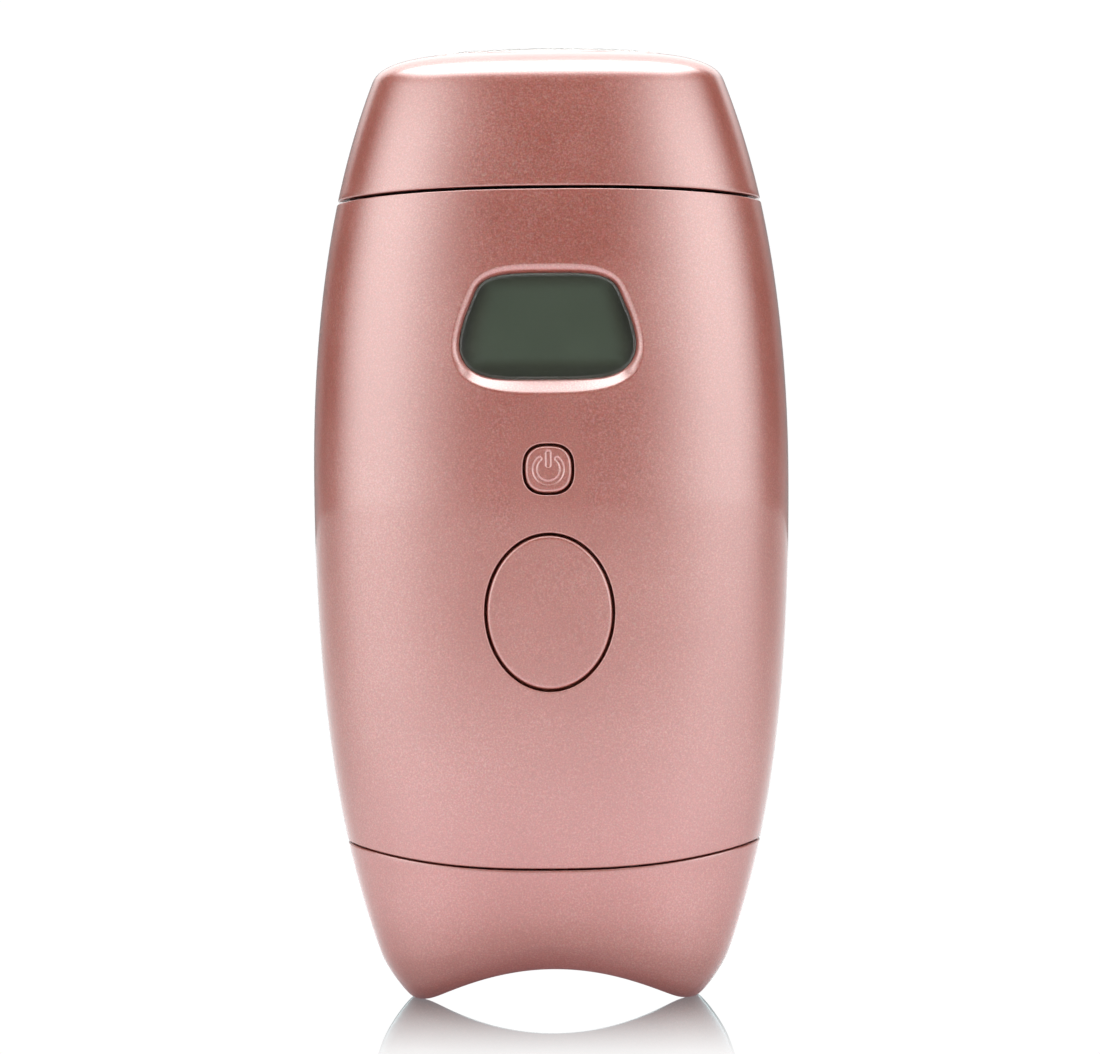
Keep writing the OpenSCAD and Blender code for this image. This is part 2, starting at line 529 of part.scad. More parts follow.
module air_duct() color(white_part) difference() {
    union() {
        difference() {
            block([-20, -1.5, 86.2], [20, 7.6, 127.6]);
            block([-18.6, -0.1, 87.6], [18.6, 8, 128]);
        }
        // posts for the fan screws
        for (i = [-1, 1], j = [-1, 1]) ycyl(i*(fan_side/2 - 3.2), fan_z + j*(fan_side/2 - 3.2), 2.6, -0.6, 7.6);
    }
    for (s = [-1, 1], z = [97, 103, 109, 115]) block([s > 0 ? 18 : -21, 1, z - 1.5], [s > 0 ? 21 : -18, 5.6, z + 1.5]);
    for (i = [-1, 1], j = [-1, 1]) ycyl(i*(fan_side/2 - 3.2), fan_z + j*(fan_side/2 - 3.2), 1.28, 0, 8);
}

// power inlet, facing down in the top of the arch
module dc_jack() color(black_part) difference() {
    union() {
        zcyl(0, 0, 4, 6, 9);
        translate([0, 0, 8.5]) linear_extrude(height = 12) rrect(10, 9, 1);
    }
    zcyl(0, 0, 3.15, 5, 16);
    zcyl(0, 0, 1.62, 15, 19.6);
}
module jack_pin() color(steel) union() {
    zcyl(0, 0, 1, 7.6, 16.1);
    zcyl(0, 0, 1.6, 16.1, 19.5);
    translate([0, 0, 6.6]) cylinder(r1 = 0.45, r2 = 1, h = 1);
}
module jack_leads() color([0.55, 0.08, 0.08]) for (s = [-1, 1])
    lead([[s*2.8, 0, 20.6], [s*3.4, 0.8, 24], [s*5.5, 6, 28.5], [s*7.5, 10, 32], [s*8, 10.6, 35.9]], 0.75, 3);
module lamp_leads() color([0.75, 0.10, 0.08]) for (s = [-1, 1])
    lead([[s*23.5, 0, 121.9], [s*24.5, 0, 117], [s*28.5, 1, 108], [s*30, 4, 97], [s*29.5, 9, 86],
        [s*26.5, 13.6, 77], [s*23.4, 14, 73.8], [s*21.05, 14, 73.5]], 1.1, 3);
module fan_lead() color([0.12, 0.12, 0.12]) lead([[8, 13, 85.95], [8.2, 13, 84], [8, 13, 82.1]], 0.8, 2);
module display_ribbon() color([0.75, 0.52, 0.18]) translate([-4.5, 0, 0]) rotate([90, 0, 90]) linear_extrude(height = 9)
    polygon([[-11.8, 56.9], [-11.8, 33], [-9.6, 30.7], [8.6, 30.7], [10.75, 32.9], [10.75, 35.9], [10.45, 35.9],
        [10.45, 33.1], [8.5, 31], [-9.5, 31], [-11.5, 33.1], [-11.5, 56.9]]);

// ---------- lamp head ----------
lamp_z = 157.2;
module lamp_base() color(black_part) difference() {
    union() {
        translate([0, 0, 143.9]) linear_extrude(height = 2.6) plate_shape(146.5, wall + 0.3);
        translate([0, 0, 131.7]) linear_extrude(height = 12.3) rrect(2*plug_x, 2*plug_y, 2);
        for (s = [-1, 1]) block([s > 0 ? 21.5 : -23.3, -7, 146.4], [s > 0 ? 23.3 : -21.5, 7, 162.4]);
    }
    for (s = [-1, 1]) {
        zcyl(s*sleeve_x, 0, 1.12, 131, 147);
        xcyl(0, lamp_z, 3.3, s > 0 ? 21 : -24, s > 0 ? 24 : -21);
        translate([0, s*13, 143]) linear_extrude(height = 4) rrect(34, 2.6, 1.2);
    }
}
module head_pins() color(brass) for (s = [-1, 1]) {
    zcyl(s*sleeve_x, 0, 1.1, 125, 146.35);
    translate([s*sleeve_x, 0, 124.2]) cylinder(r1 = 0.5, r2 = 1.1, h = 0.8);
}
// trough with a parabolic section
function trough(d) = [for (i = [-10:10]) let (y = i*0.51) [y*(1 + d/6), lamp_z - 4.4 + 0.385*y*y*0.98 - d]];
module reflector() color([0.88, 0.88, 0.88]) {
    intersection() {
        translate([-15, 0, 0]) rotate([90, 0, 90]) linear_extrude(height = 30)
            polygon(concat(trough(0), [for (i = [20:-1:0]) trough(0.8)[i]]));
        block([-20, -7, 150], [20, 7, 162.6]);
    }
}
module flash_lamp() color(clear_part) difference() {
    xcyl(0, lamp_z, 2.8, -21, 21);
    xcyl(0, lamp_z, 1.9, -19, 19);
}
module lamp_electrodes() color(steel) for (s = [-1, 1]) {
    xcyl(0, lamp_z, 2.3, s > 0 ? 21.05 : -24.6, s > 0 ? 24.6 : -21.05);
    xcyl(0, lamp_z, 0.7, s > 0 ? 24.5 : -26, s > 0 ? 26 : -24.5);
}
module lamp_clips() color(white_part) for (s = [-1, 1]) difference() {
    block([s > 0 ? 16.4 : -20.4, -4.4, 146.6], [s > 0 ? 20.4 : -16.4, 4.4, 160.3]);
    xcyl(0, lamp_z, 2.85, s > 0 ? 16 : -21, s > 0 ? 21 : -16);
}
module electrode_leads() color([0.75, 0.10, 0.08]) for (s = [-1, 1])
    lead([[s*25.4, 0, 156.4], [s*25.7, 0, 153.5], [s*24.6, 0, 150.2], [s*24.05, 0, 148], [s*24.05, 0, 146.4]], 0.5, 3);
// the window frame follows the crown's curve along X
crown_r = 226;
module under_crown(top) translate([0, 30, top - crown_r]) rotate([90, 0, 0]) cylinder(r = crown_r, h = 60, $fn = 200);
module window_frame() color(white_part) intersection() {
    difference() {
        translate([0, 0, 162.8]) linear_extrude(height = 6) rrect(2*open_x - 0.8, 2*open_y - 0.9, 4.2);
        translate([0, 0, 164.4]) linear_extrude(height = 6) rrect(glass_w + 0.2, glass_d + 0.2, 1.6);
        translate([0, 0, 162]) linear_extrude(height = 6) rrect(glass_w - 2.4, glass_d - 1.6, 1.2);
        for (s = [-1, 1]) translate([s*sensor_x, 0, 162]) linear_extrude(height = 8) rrect(1.7, 6.4, 0.8);
    }
    under_crown(crown_z - 0.15);
}
module window_glass() color(clear_part) intersection() {
    translate([0, 0, 164.5]) linear_extrude(height = 6) rrect(glass_w, glass_d, 1.5);
    under_crown(crown_z + glass_proud);
}
sensor_x = 17.35;
module skin_sensor(s) translate([s*sensor_x, 0, 162.85]) linear_extrude(height = 4.9) rrect(1.4, 6.1, 0.65);
module skin_sensor_left() color(white_part) skin_sensor(-1);
module skin_sensor_right() color(white_part) skin_sensor(1);
module sensor_switches() color(black_part) for (s = [-1, 1])
    block([s > 0 ? 15.8 : -21.4, -3, 160.5], [s > 0 ? 21.4 : -15.8, 3, 161.8]);

front_shell();
rear_shell();
tail_cap();
inner_frame();
head_socket();
socket_sleeves();
socket_screws();
tail_screws();
display_window();
display_gasket();
lcd_panel();
lcd_holder();
control_board();
control_screws();
control_parts();
power_switch();
flash_switch();
main_board();
main_screws();
flash_capacitors();
charge_transformer();
trigger_coil();
heat_sink();
terminals();
fan_frame();
fan_bearing();
fan_screws();
air_duct();
dc_jack();
jack_pin();
jack_leads();
lamp_leads();
fan_lead();
display_ribbon();
power_button();
power_plunger();
flash_button();
flash_plunger();
fan_rotor();
fan_shaft();
head_shell();
lamp_base();
window_frame();
window_glass();
reflector();
flash_lamp();
lamp_electrodes();
lamp_clips();
electrode_leads();
head_pins();
sensor_switches();
skin_sensor_left();
skin_sensor_right();
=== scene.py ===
import json
import math

import bmesh
import bpy
import numpy as np
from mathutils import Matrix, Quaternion, Vector
from mathutils.geometry import delaunay_2d_cdt


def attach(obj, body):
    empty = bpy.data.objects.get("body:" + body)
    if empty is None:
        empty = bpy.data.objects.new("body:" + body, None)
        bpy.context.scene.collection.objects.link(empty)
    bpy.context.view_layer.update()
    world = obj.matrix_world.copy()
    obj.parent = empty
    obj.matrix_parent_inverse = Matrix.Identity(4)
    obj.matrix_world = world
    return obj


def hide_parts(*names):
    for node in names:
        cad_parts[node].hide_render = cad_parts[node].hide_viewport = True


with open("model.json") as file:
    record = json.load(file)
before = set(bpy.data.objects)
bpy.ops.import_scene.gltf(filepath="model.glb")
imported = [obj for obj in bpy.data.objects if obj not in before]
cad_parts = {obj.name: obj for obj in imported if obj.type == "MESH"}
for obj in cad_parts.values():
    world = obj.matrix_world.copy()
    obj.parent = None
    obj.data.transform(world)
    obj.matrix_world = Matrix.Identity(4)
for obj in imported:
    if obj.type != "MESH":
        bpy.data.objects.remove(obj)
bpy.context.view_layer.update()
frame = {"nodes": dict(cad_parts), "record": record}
nodes = frame["nodes"]
scene = bpy.context.scene
PI = math.pi

# ------------------------------------------------------------------ outer shape, in millimetres
WALL = 2.2


def fall(d, a, b, d1, d2):
    c4 = (b / d2**2 - a / d1**2) / (d2**2 - d1**2)
    c2 = a / d1**2 - c4 * d1**2
    return c2 * d**2 + c4 * d**4


def half_w(z):
    d = np.asarray(z, float) - 93.0
    return 42.2 - np.where(d > 0, fall(d, 5.0, 11.0, 50.0, 69.7), fall(d, 5.95, 12.5, 66.8, 88.0))


def half_d(z):
    d = np.asarray(z, float) - 93.0
    return 23.0 - np.where(d > 0, fall(d, 2.5, 6.8, 50.0, 69.7), fall(d, 3.0, 6.2, 66.8, 88.0))


def smooth(t):
    t = np.clip(t, 0.0, 1.0)
    return t * t * (3 - 2 * t)


def plan_n(z):
    return 2.5 + 0.7 * smooth((24 - np.asarray(z, float)) / 24)


def unit(th, n):
    """Superellipse of half axes 1 in the direction th; th 0 is the front, 90 degrees the right."""
    s, c = np.sin(th), np.cos(th)
    k = (np.abs(s) ** n + np.abs(c) ** n) ** (-1.0 / n)
    return s * k, c * k


def front_y(x, z):
    q = np.clip(np.abs(x) / half_w(z), 0, 1)
    return -half_d(z) * (1 - q**2.5) ** 0.4


def head_seam(front):
    """front is the normalised depth, 1 in the middle of the front or back and 0 at the sides."""
    return 141.1 + 1.3 * np.abs(front) ** 2.5


def tail_seam(front):
    return 27.9 - 4.2 * np.abs(front) ** 2.5


# length along the section at the belly, used as the flat coordinate of the two shells
TH = np.linspace(-PI / 2, PI / 2, 8001)
_x, _y = unit(TH, 2.5)
_d = np.hypot(np.diff(42.2 * _x), np.diff(23.0 * _y))
ARC = np.concatenate([[0], np.cumsum(_d)])
ARC -= ARC[4000]
SIDE = ARC[-1]


def s_from_x(x, z):
    q = np.clip(x / half_w(z), -1, 1)
    return np.interp(np.arctan2(q, (1 - np.abs(q) ** 2.5) ** 0.4), TH, ARC)


def s_from_y(y, z, sign):
    q = np.clip(np.abs(y) / half_d(z), 0, 1)
    return np.interp(np.arctan2(sign * (1 - q**2.5) ** 0.4, q), TH, ARC)


def shell_point(s, z, side):
    """side -1 is the front shell, 1 the rear one."""
    x, y = unit(np.interp(s, ARC, TH), 2.5)
    return np.stack([half_w(z) * x, side * half_d(z) * y, np.asarray(z, float) + 0 * x], -1)


def surf_normal(point, u, v, h=0.02):
    n = np.cross(point(u + h, v) - point(u - h, v), point(u, v + h) - point(u, v - h))
    return n / np.linalg.norm(n, axis=-1, keepdims=True)


# ------------------------------------------------------------------ outlines
def offset_loop(p, d):
    """A counter-clockwise loop moved outwards by d."""
    t1 = p - np.roll(p, 1, 0)
    t2 = np.roll(p, -1, 0) - p
    t1 = t1 / np.linalg.norm(t1, axis=1, keepdims=True)
    t2 = t2 / np.linalg.norm(t2, axis=1, keepdims=True)
    n1 = np.stack([t1[:, 1], -t1[:, 0]], 1)
    n2 = np.stack([t2[:, 1], -t2[:, 0]], 1)
    return p + d * (n1 + n2) / (1 + (n1 * n2).sum(1))[:, None]


def even(p, count):
    """A closed loop sampled again with even spacing."""
    q = np.vstack([p, p[:1]])
    d = np.concatenate([[0], np.cumsum(np.linalg.norm(np.diff(q, axis=0), axis=1))])
    t = np.linspace(0, d[-1], count, endpoint=False)
    return np.stack([np.interp(t, d, q[:, 0]), np.interp(t, d, q[:, 1])], 1)


def superloop(a, b, n, count, cx=0.0, cy=0.0):
    t = np.linspace(0, 2 * PI, 4000, endpoint=False)
    x, y = unit(PI / 2 - t, n)
    return even(np.stack([a * x, b * y], 1), count) + [cx, cy]


def rrect(w, h, r, count, cx=0.0, cy=0.0):
    a, b = w / 2 - r, h / 2 - r
    pts = []
    for qx, qy, start in ((a, b, 0), (-a, b, 90), (-a, -b, 180), (a, -b, 270)):
        for i in range(25):
            t = math.radians(start + 90 * i / 24)
            pts.append((qx + r * math.cos(t), qy + r * math.sin(t)))
    p = np.array(pts)
    keep = np.linalg.norm(p - np.roll(p, 1, 0), axis=1) > 1e-9
    return even(p[keep], count) + [cx, cy]


def circle(r, count, cx=0.0, cy=0.0):
    t = np.linspace(0, 2 * PI, count, endpoint=False)
    return np.stack([cx + r * np.cos(t), cy + r * np.sin(t)], 1)


def inside(p, loop):
    x, y = p[:, 0], p[:, 1]
    hit = np.zeros(len(p), bool)
    a, b = loop, np.roll(loop, -1, 0)
    for (x1, y1), (x2, y2) in zip(a, b):
        if y1 == y2:
            continue
        c = (y1 > y) != (y2 > y)
        hit ^= c & (x < (x2 - x1) * (y - y1) / (y2 - y1) + x1)
    return hit


def away(p, pts, dist):
    keep = np.ones(len(p), bool)
    for i in range(0, len(p), 2000):
        d = ((p[i : i + 2000, None, :] - pts[None]) ** 2).sum(-1).min(1)
        keep[i : i + 2000] = d > dist * dist
    return keep


# ------------------------------------------------------------------ closed meshes
def ring_normals(rings, closed):
    """Normals of a stack of rings, from the directions along and across it."""
    P = np.asarray(rings)
    along = np.roll(P, -1, 1) - np.roll(P, 1, 1)
    if closed:
        fwd = np.roll(P, -1, 0) - P
        bwd = P - np.roll(P, 1, 0)
    else:
        fwd = np.concatenate([P[1:] - P[:-1], P[-1:] - P[-2:-1]])
        bwd = np.concatenate([P[1:2] - P[:1], P[1:] - P[:-1]])
    lf = np.linalg.norm(fwd, axis=-1, keepdims=True) + 1e-12
    lb = np.linalg.norm(bwd, axis=-1, keepdims=True) + 1e-12
    across = (fwd / lf) * lb + (bwd / lb) * lf
    n = np.cross(along, across)
    return n / (np.linalg.norm(n, axis=-1, keepdims=True) + 1e-12)


class Solid:
    """Collects rings and panels of one closed mesh, in millimetres."""

    def __init__(self):
        self.co, self.no, self.faces, self.count = [], [], [], 0

    def add(self, pts, nor):
        pts = np.asarray(pts, float)
        nor = np.zeros_like(pts) if nor is None else np.asarray(nor, float)
        idx = np.arange(self.count, self.count + len(pts))
        self.co.append(pts)
        self.no.append(nor)
        self.count += len(pts)
        return idx

    def bridge(self, a, b):
        a2, b2 = np.roll(a, -1), np.roll(b, -1)
        self.faces += np.stack([a, a2, b2, b], 1).tolist()

    def stack(self, rings, first=None, last=None, closed=False):
        """Joins rings one after the other. first and last are rings that exist already, as (indices, points)."""
        pts = list(rings)
        if first is not None:
            pts = [first[1]] + pts
        if last is not None:
            pts = pts + [last[1]]
        nor = ring_normals(pts, closed)
        ids = []
        for k, p in enumerate(pts):
            if first is not None and k == 0:
                ids.append(first[0])
            elif last is not None and k == len(pts) - 1:
                ids.append(last[0])
            else:
                ids.append(self.add(p, nor[k]))
        for a, b in zip(ids, ids[1:]):
            self.bridge(a, b)
        if closed:
            self.bridge(ids[-1], ids[0])
        return ids

    def cap(self, idx, centre):
        c = self.add([centre], None)[0]
        for a, b in zip(idx, np.roll(idx, -1)):
            self.faces.append([int(a), int(b), int(c)])

    def fill(self, loops, point, step, normal=None):
        """A panel between loops, the first the outer one. A loop is (flat points, indices)."""
        flat = [np.asarray(uv, float) for uv, _ in loops]
        ids = np.concatenate([i for _, i in loops])
        lo, hi = flat[0].min(0), flat[0].max(0)
        rows = np.arange(lo[1] + step / 2, hi[1], step * 0.866)
        grid = np.array(
            [(x, y) for k, y in enumerate(rows) for x in np.arange(lo[0] + (k % 2) * step / 2, hi[0], step)]
        ).reshape(-1, 2)
        edge = np.concatenate(flat)
        extra = [grid]
        for k, loop in enumerate(flat):
            ring = np.linalg.norm(np.roll(loop, -1, 0) - loop, axis=1).mean()
            d, n = 0.0, len(loop)
            pts = loop
            while ring < 0.75 * step and n > 16:
                d += ring * 1.1
                ring *= 1.45
                n = int(n / 1.45)
                pts = even(offset_loop(even(loop, len(loop)), d if k else -d), n)
                extra.append(pts)
        keep = []
        placed = edge
        for pts in extra[1:] + extra[:1]:
            if not len(pts):
                continue
            ok = inside(pts, flat[0])
            for loop in flat[1:]:
                ok &= ~inside(pts, loop)
            pts = pts[ok]
            if len(pts):
                gap = 0.62 * step if pts is not None and len(keep) and pts.shape[0] > 0 and pts is extra[0] else 0.0
                near = np.linalg.norm(np.roll(pts, -1, 0) - pts, axis=1)
                gap = max(gap, 0.55 * min(step, float(np.median(near)) if len(pts) > 2 else step))
                pts = pts[away(pts, placed, gap)]
            if len(pts):
                keep.append(pts)
                placed = np.concatenate([placed, pts])
        inner = np.concatenate(keep) if keep else np.zeros((0, 2))
        all_uv = np.concatenate([edge, inner])
        edges, start = [], 0
        for loop in flat:
            n = len(loop)
            edges += [(start + i, start + (i + 1) % n) for i in range(n)]
            start += n
        got = delaunay_2d_cdt([Vector((float(x), float(y))) for x, y in all_uv], edges, [], 1, 1e-7)
        tris = np.array([t for t in got[2] if len(t) == 3])
        origin = np.array([o[0] if len(o) else -1 for o in got[3]])
        assert (origin >= 0).all() and len(got[0]) == len(all_uv)
        tris = origin[tris]
        mid = all_uv[tris].mean(1)
        ok = inside(mid, flat[0])
        for loop in flat[1:]:
            ok &= ~inside(mid, loop)
        tris = tris[ok]
        pos = point(inner[:, 0], inner[:, 1]) if len(inner) else np.zeros((0, 3))
        nor = surf_normal(point, inner[:, 0], inner[:, 1]) if len(inner) else None
        table = np.concatenate([ids, self.add(pos, nor)]) if len(inner) else ids
        self.faces += table[tris].tolist()

    def surface_normals(self, idx, point, uv):
        """The ring's normals are those of the panel it borders."""
        n = surf_normal(point, uv[:, 0], uv[:, 1])
        for i, v in zip(idx, n):
            self.fixed[int(i)] = v

    fixed = None

    def build(self, name, material):
        co = np.concatenate(self.co) * 0.001
        no = np.concatenate(self.no)
        if self.fixed:
            for i, v in self.fixed.items():
                no[i] = v
        mesh = bpy.data.meshes.new(name)
        mesh.from_pydata(co.tolist(), [], self.faces)
        bm = bmesh.new()
        bm.from_mesh(mesh)
        bmesh.ops.recalc_face_normals(bm, faces=bm.faces[:])
        bm.to_mesh(mesh)
        bm.free()
        finish_normals(mesh, no)
        obj = bpy.data.objects.new(name, mesh)
        scene.collection.objects.link(obj)
        mesh.materials.append(material)
        return obj


def finish_normals(mesh, no, limit=0.62):
    """Smooth shading from the given normals; a corner whose face turns too far from them stays sharp."""
    count = len(mesh.vertices)
    auto = np.zeros(count * 3)
    mesh.vertices.foreach_get("normal", auto)
    auto = auto.reshape(-1, 3)
    bare = np.linalg.norm(no, axis=1) < 0.5
    no = np.where(bare[:, None], auto, no)
    no = np.where(((no * auto).sum(1) < 0)[:, None], -no, no)
    faces = len(mesh.polygons)
    mesh.polygons.foreach_set("use_smooth", np.ones(faces, bool))
    fn = np.zeros(faces * 3)
    mesh.polygons.foreach_get("normal", fn)
    fn = fn.reshape(-1, 3)
    total = np.zeros(faces, int)
    mesh.polygons.foreach_get("loop_total", total)
    corner_face = np.repeat(np.arange(faces), total)
    corner_vert = np.zeros(len(mesh.loops), int)
    mesh.loops.foreach_get("vertex_index", corner_vert)
    cn = no[corner_vert]
    cf = fn[corner_face]
    cn = np.where(((cn * cf).sum(1) < limit)[:, None], cf, cn)
    mesh.normals_split_custom_set(cn.tolist())


def piece(obj, body, slot, *replaced):
    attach(obj, body)
    if replaced:
        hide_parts(*replaced)
    return obj


# ------------------------------------------------------------------ materials
def link(tree, a, b):
    tree.links.new(a, b)


def math_node(tree, op, a, b=0.0, clamp=False):
    n = tree.nodes.new("ShaderNodeMath")
    n.operation = op
    n.use_clamp = clamp
    for socket, value in zip(n.inputs, (a, b)):
        if isinstance(value, (int, float)):
            socket.default_value = value
        else:
            link(tree, value, socket)
    return n.outputs[0]


def step_node(tree, value, lo, hi, a=0.0, b=1.0):
    """Smooth step from a at lo to b at hi."""
    n = tree.nodes.new("ShaderNodeMapRange")
    n.interpolation_type = "SMOOTHSTEP"
    link(tree, value, n.inputs["Value"])
    for key, v in (("From Min", lo), ("From Max", hi), ("To Min", a), ("To Max", b)):
        n.inputs[key].default_value = v
    return n.outputs["Result"]


def noise_node(tree, scale, detail=2.0, rough=0.5, stretch=None, kind="NOISE"):
    coord = tree.nodes.new("ShaderNodeTexCoord")
    vec = coord.outputs["Object"]
    if stretch:
        mp = tree.nodes.new("ShaderNodeMapping")
        mp.inputs["Scale"].default_value = stretch
        link(tree, vec, mp.inputs["Vector"])
        vec = mp.outputs["Vector"]
    if kind == "VORONOI":
        n = tree.nodes.new("ShaderNodeTexVoronoi")
        n.inputs["Scale"].default_value = scale
        link(tree, vec, n.inputs["Vector"])
        return n.outputs["Color"]
    n = tree.nodes.new("ShaderNodeTexNoise")
    n.inputs["Scale"].default_value = scale
    n.inputs["Detail"].default_value = detail
    n.inputs["Roughness"].default_value = rough
    link(tree, vec, n.inputs["Vector"])
    return n.outputs["Fac"]


def ramp_node(tree, fac, stops):
    n = tree.nodes.new("ShaderNodeValToRGB")
    e = n.color_ramp.elements
    e[0].position, e[0].color = stops[0][0], (*stops[0][1], 1)
    e[1].position, e[1].color = stops[-1][0], (*stops[-1][1], 1)
    for pos, col in stops[1:-1]:
        x = e.new(pos)
        x.color = (*col, 1)
    link(tree, fac, n.inputs["Fac"])
    return n.outputs["Color"]


def bump_node(tree, height, strength, distance, normal=None):
    n = tree.nodes.new("ShaderNodeBump")
    n.inputs["Strength"].default_value = strength
    n.inputs["Distance"].default_value = distance
    link(tree, height, n.inputs["Height"])
    if normal is not None:
        link(tree, normal, n.inputs["Normal"])
    return n.outputs["Normal"]


def new_material(name):
    m = bpy.data.materials.new(name)
    m.use_nodes = True
    tree = m.node_tree
    bsdf = tree.nodes["Principled BSDF"]
    return m, tree, bsdf


def shade(c, k):
    return tuple(max(0.0, min(1.0, v * k)) for v in c)


def moulded(name, colour, rough, grain=2600.0, tint=0.10, texture=0.25, depth=0.00003, metal=0.0, coat=0.0,
            stretch=None, ior=1.5, patch=60.0, spread=0.08):
    """Fine grain, slow changes of tone and an uneven finish, at the scale of the real surface."""
    m, tree, b = new_material(name)
    fine = noise_node(tree, grain, 3.0, 0.55, stretch)
    slow = noise_node(tree, patch, 2.0)
    mixed = math_node(tree, "ADD", math_node(tree, "MULTIPLY", fine, 0.7), math_node(tree, "MULTIPLY", slow, 0.3))
    col = ramp_node(tree, mixed, [(0.3, shade(colour, 1 - tint)), (0.5, colour), (0.7, shade(colour, 1 + tint))])
    link(tree, col, b.inputs["Base Color"])
    link(tree, step_node(tree, mixed, 0.3, 0.7, max(0.02, rough - spread), min(1, rough + spread)), b.inputs["Roughness"])
    link(tree, bump_node(tree, fine, texture, depth), b.inputs["Normal"])
    b.inputs["Metallic"].default_value = metal
    b.inputs["IOR"].default_value = ior
    b.inputs["Coat Weight"].default_value = coat
    b.inputs["Coat Roughness"].default_value = 0.06
    return m


ROSE = (0.248, 0.060, 0.039)


def rose_paint(name, peel=0.0):
    """Pearlescent flakes under a clear coat."""
    m, tree, b = new_material(name)
    flake = noise_node(tree, 3400.0, 2.0, 0.6)
    cells = noise_node(tree, 5200.0, kind="VORONOI")
    slow = noise_node(tree, 45.0, 2.0)
    lum = math_node(tree, "ADD", math_node(tree, "MULTIPLY", flake, 0.75), math_node(tree, "MULTIPLY", slow, 0.25))
    tone = ramp_node(tree, lum, [(0.30, (0.186, 0.026, 0.012)), (0.5, ROSE), (0.70, (0.330, 0.142, 0.118))])
    mix = tree.nodes.new("ShaderNodeMix")
    mix.data_type = "RGBA"
    mix.blend_type = "OVERLAY"
    mix.inputs["Factor"].default_value = 0.16
    link(tree, tone, mix.inputs["A"])
    link(tree, cells, mix.inputs["B"])
    link(tree, mix.outputs["Result"], b.inputs["Base Color"])
    link(tree, step_node(tree, lum, 0.3, 0.7, 0.29, 0.35), b.inputs["Roughness"])
    link(tree, bump_node(tree, flake, 0.35, 0.000012), b.inputs["Normal"])
    b.inputs["Metallic"].default_value = 0.0
    b.inputs["IOR"].default_value = 2.5
    b.inputs["Specular Tint"].default_value = (1.0, 0.85, 0.84, 1.0)
    b.inputs["Coat Weight"].default_value = 1.0
    b.inputs["Coat Roughness"].default_value = 0.05
    b.inputs["Coat IOR"].default_value = 1.5
    if peel:
        wave = noise_node(tree, 420.0, 1.0)
        link(tree, bump_node(tree, wave, peel, 0.00004), b.inputs["Coat Normal"])
    return m


def display_face(name):
    """Reflective display: green-grey, with painted shade darkening it towards its edges where the recess walls shade
    it, a painted shadow of the rim along its foot, and the fine grain of the cell.
    """
    m, tree, b = new_material(name)
    coord = tree.nodes.new("ShaderNodeTexCoord")
    sep = tree.nodes.new("ShaderNodeSeparateXYZ")
    link(tree, coord.outputs["Object"], sep.inputs[0])
    # painted shade: darker towards the sides and the top, standing for the shade the recess walls cast on the display
    half = math_node(tree, "SUBTRACT", 0.0153, math_node(tree, "MULTIPLY", math_node(
        tree, "MAXIMUM", math_node(tree, "SUBTRACT", sep.outputs[2], 0.1148), 0.0), 0.25))
    beside = math_node(tree, "SUBTRACT", half, math_node(tree, "ABSOLUTE", sep.outputs[0]))
    side = math_node(tree, "POWER", math_node(tree, "SUBTRACT", 1.2, math_node(tree, "DIVIDE", beside, 0.004), True), 2.0)
    top = math_node(tree, "MULTIPLY", math_node(tree, "POWER", math_node(
        tree, "DIVIDE", math_node(tree, "SUBTRACT", sep.outputs[2], 0.1242), 0.0032, True), 1.5), 0.8)
    # painted shadow: a dark band along the foot of the display, standing for the rim's shade
    foot = step_node(tree, sep.outputs[2], 0.1106, 0.1132, 0.62, 0.0)
    edge = math_node(tree, "MAXIMUM", side, top)
    grain = noise_node(tree, 2600.0, 2.0, 0.6)
    slow = noise_node(tree, 70.0, 2.0)
    speck = math_node(tree, "ADD", math_node(tree, "MULTIPLY", grain, 0.2), math_node(tree, "MULTIPLY", slow, 0.2))
    # painted shade and shadow together with the grain set the display's tone
    shade_and_grain = math_node(tree, "ADD", math_node(tree, "MAXIMUM", edge, foot), math_node(tree, "SUBTRACT", speck, 0.2))
    link(tree, ramp_node(tree, shade_and_grain, [(0.0, (0.082, 0.110, 0.074)), (0.45, (0.054, 0.064, 0.040)), (1.0, (0.018, 0.021, 0.009))]),
         b.inputs["Base Color"])
    link(tree, step_node(tree, speck, 0.1, 0.3, 0.30, 0.42), b.inputs["Roughness"])
    link(tree, bump_node(tree, grain, 0.05, 0.00001), b.inputs["Normal"])
    b.inputs["IOR"].default_value = 1.5
    return m


def clear_glass(name, colour, rough, ior):
    m, tree, b = new_material(name)
    smear = noise_node(tree, 90.0, 3.0)
    link(tree, ramp_node(tree, smear, [(0.3, shade(colour, 0.97)), (0.7, colour)]), b.inputs["Base Color"])
    link(tree, step_node(tree, smear, 0.35, 0.7, rough, rough + 0.03), b.inputs["Roughness"])
    link(tree, bump_node(tree, smear, 0.02, 0.00002), b.inputs["Normal"])
    b.inputs["Transmission Weight"].default_value = 1.0
    b.inputs["IOR"].default_value = ior
    return m


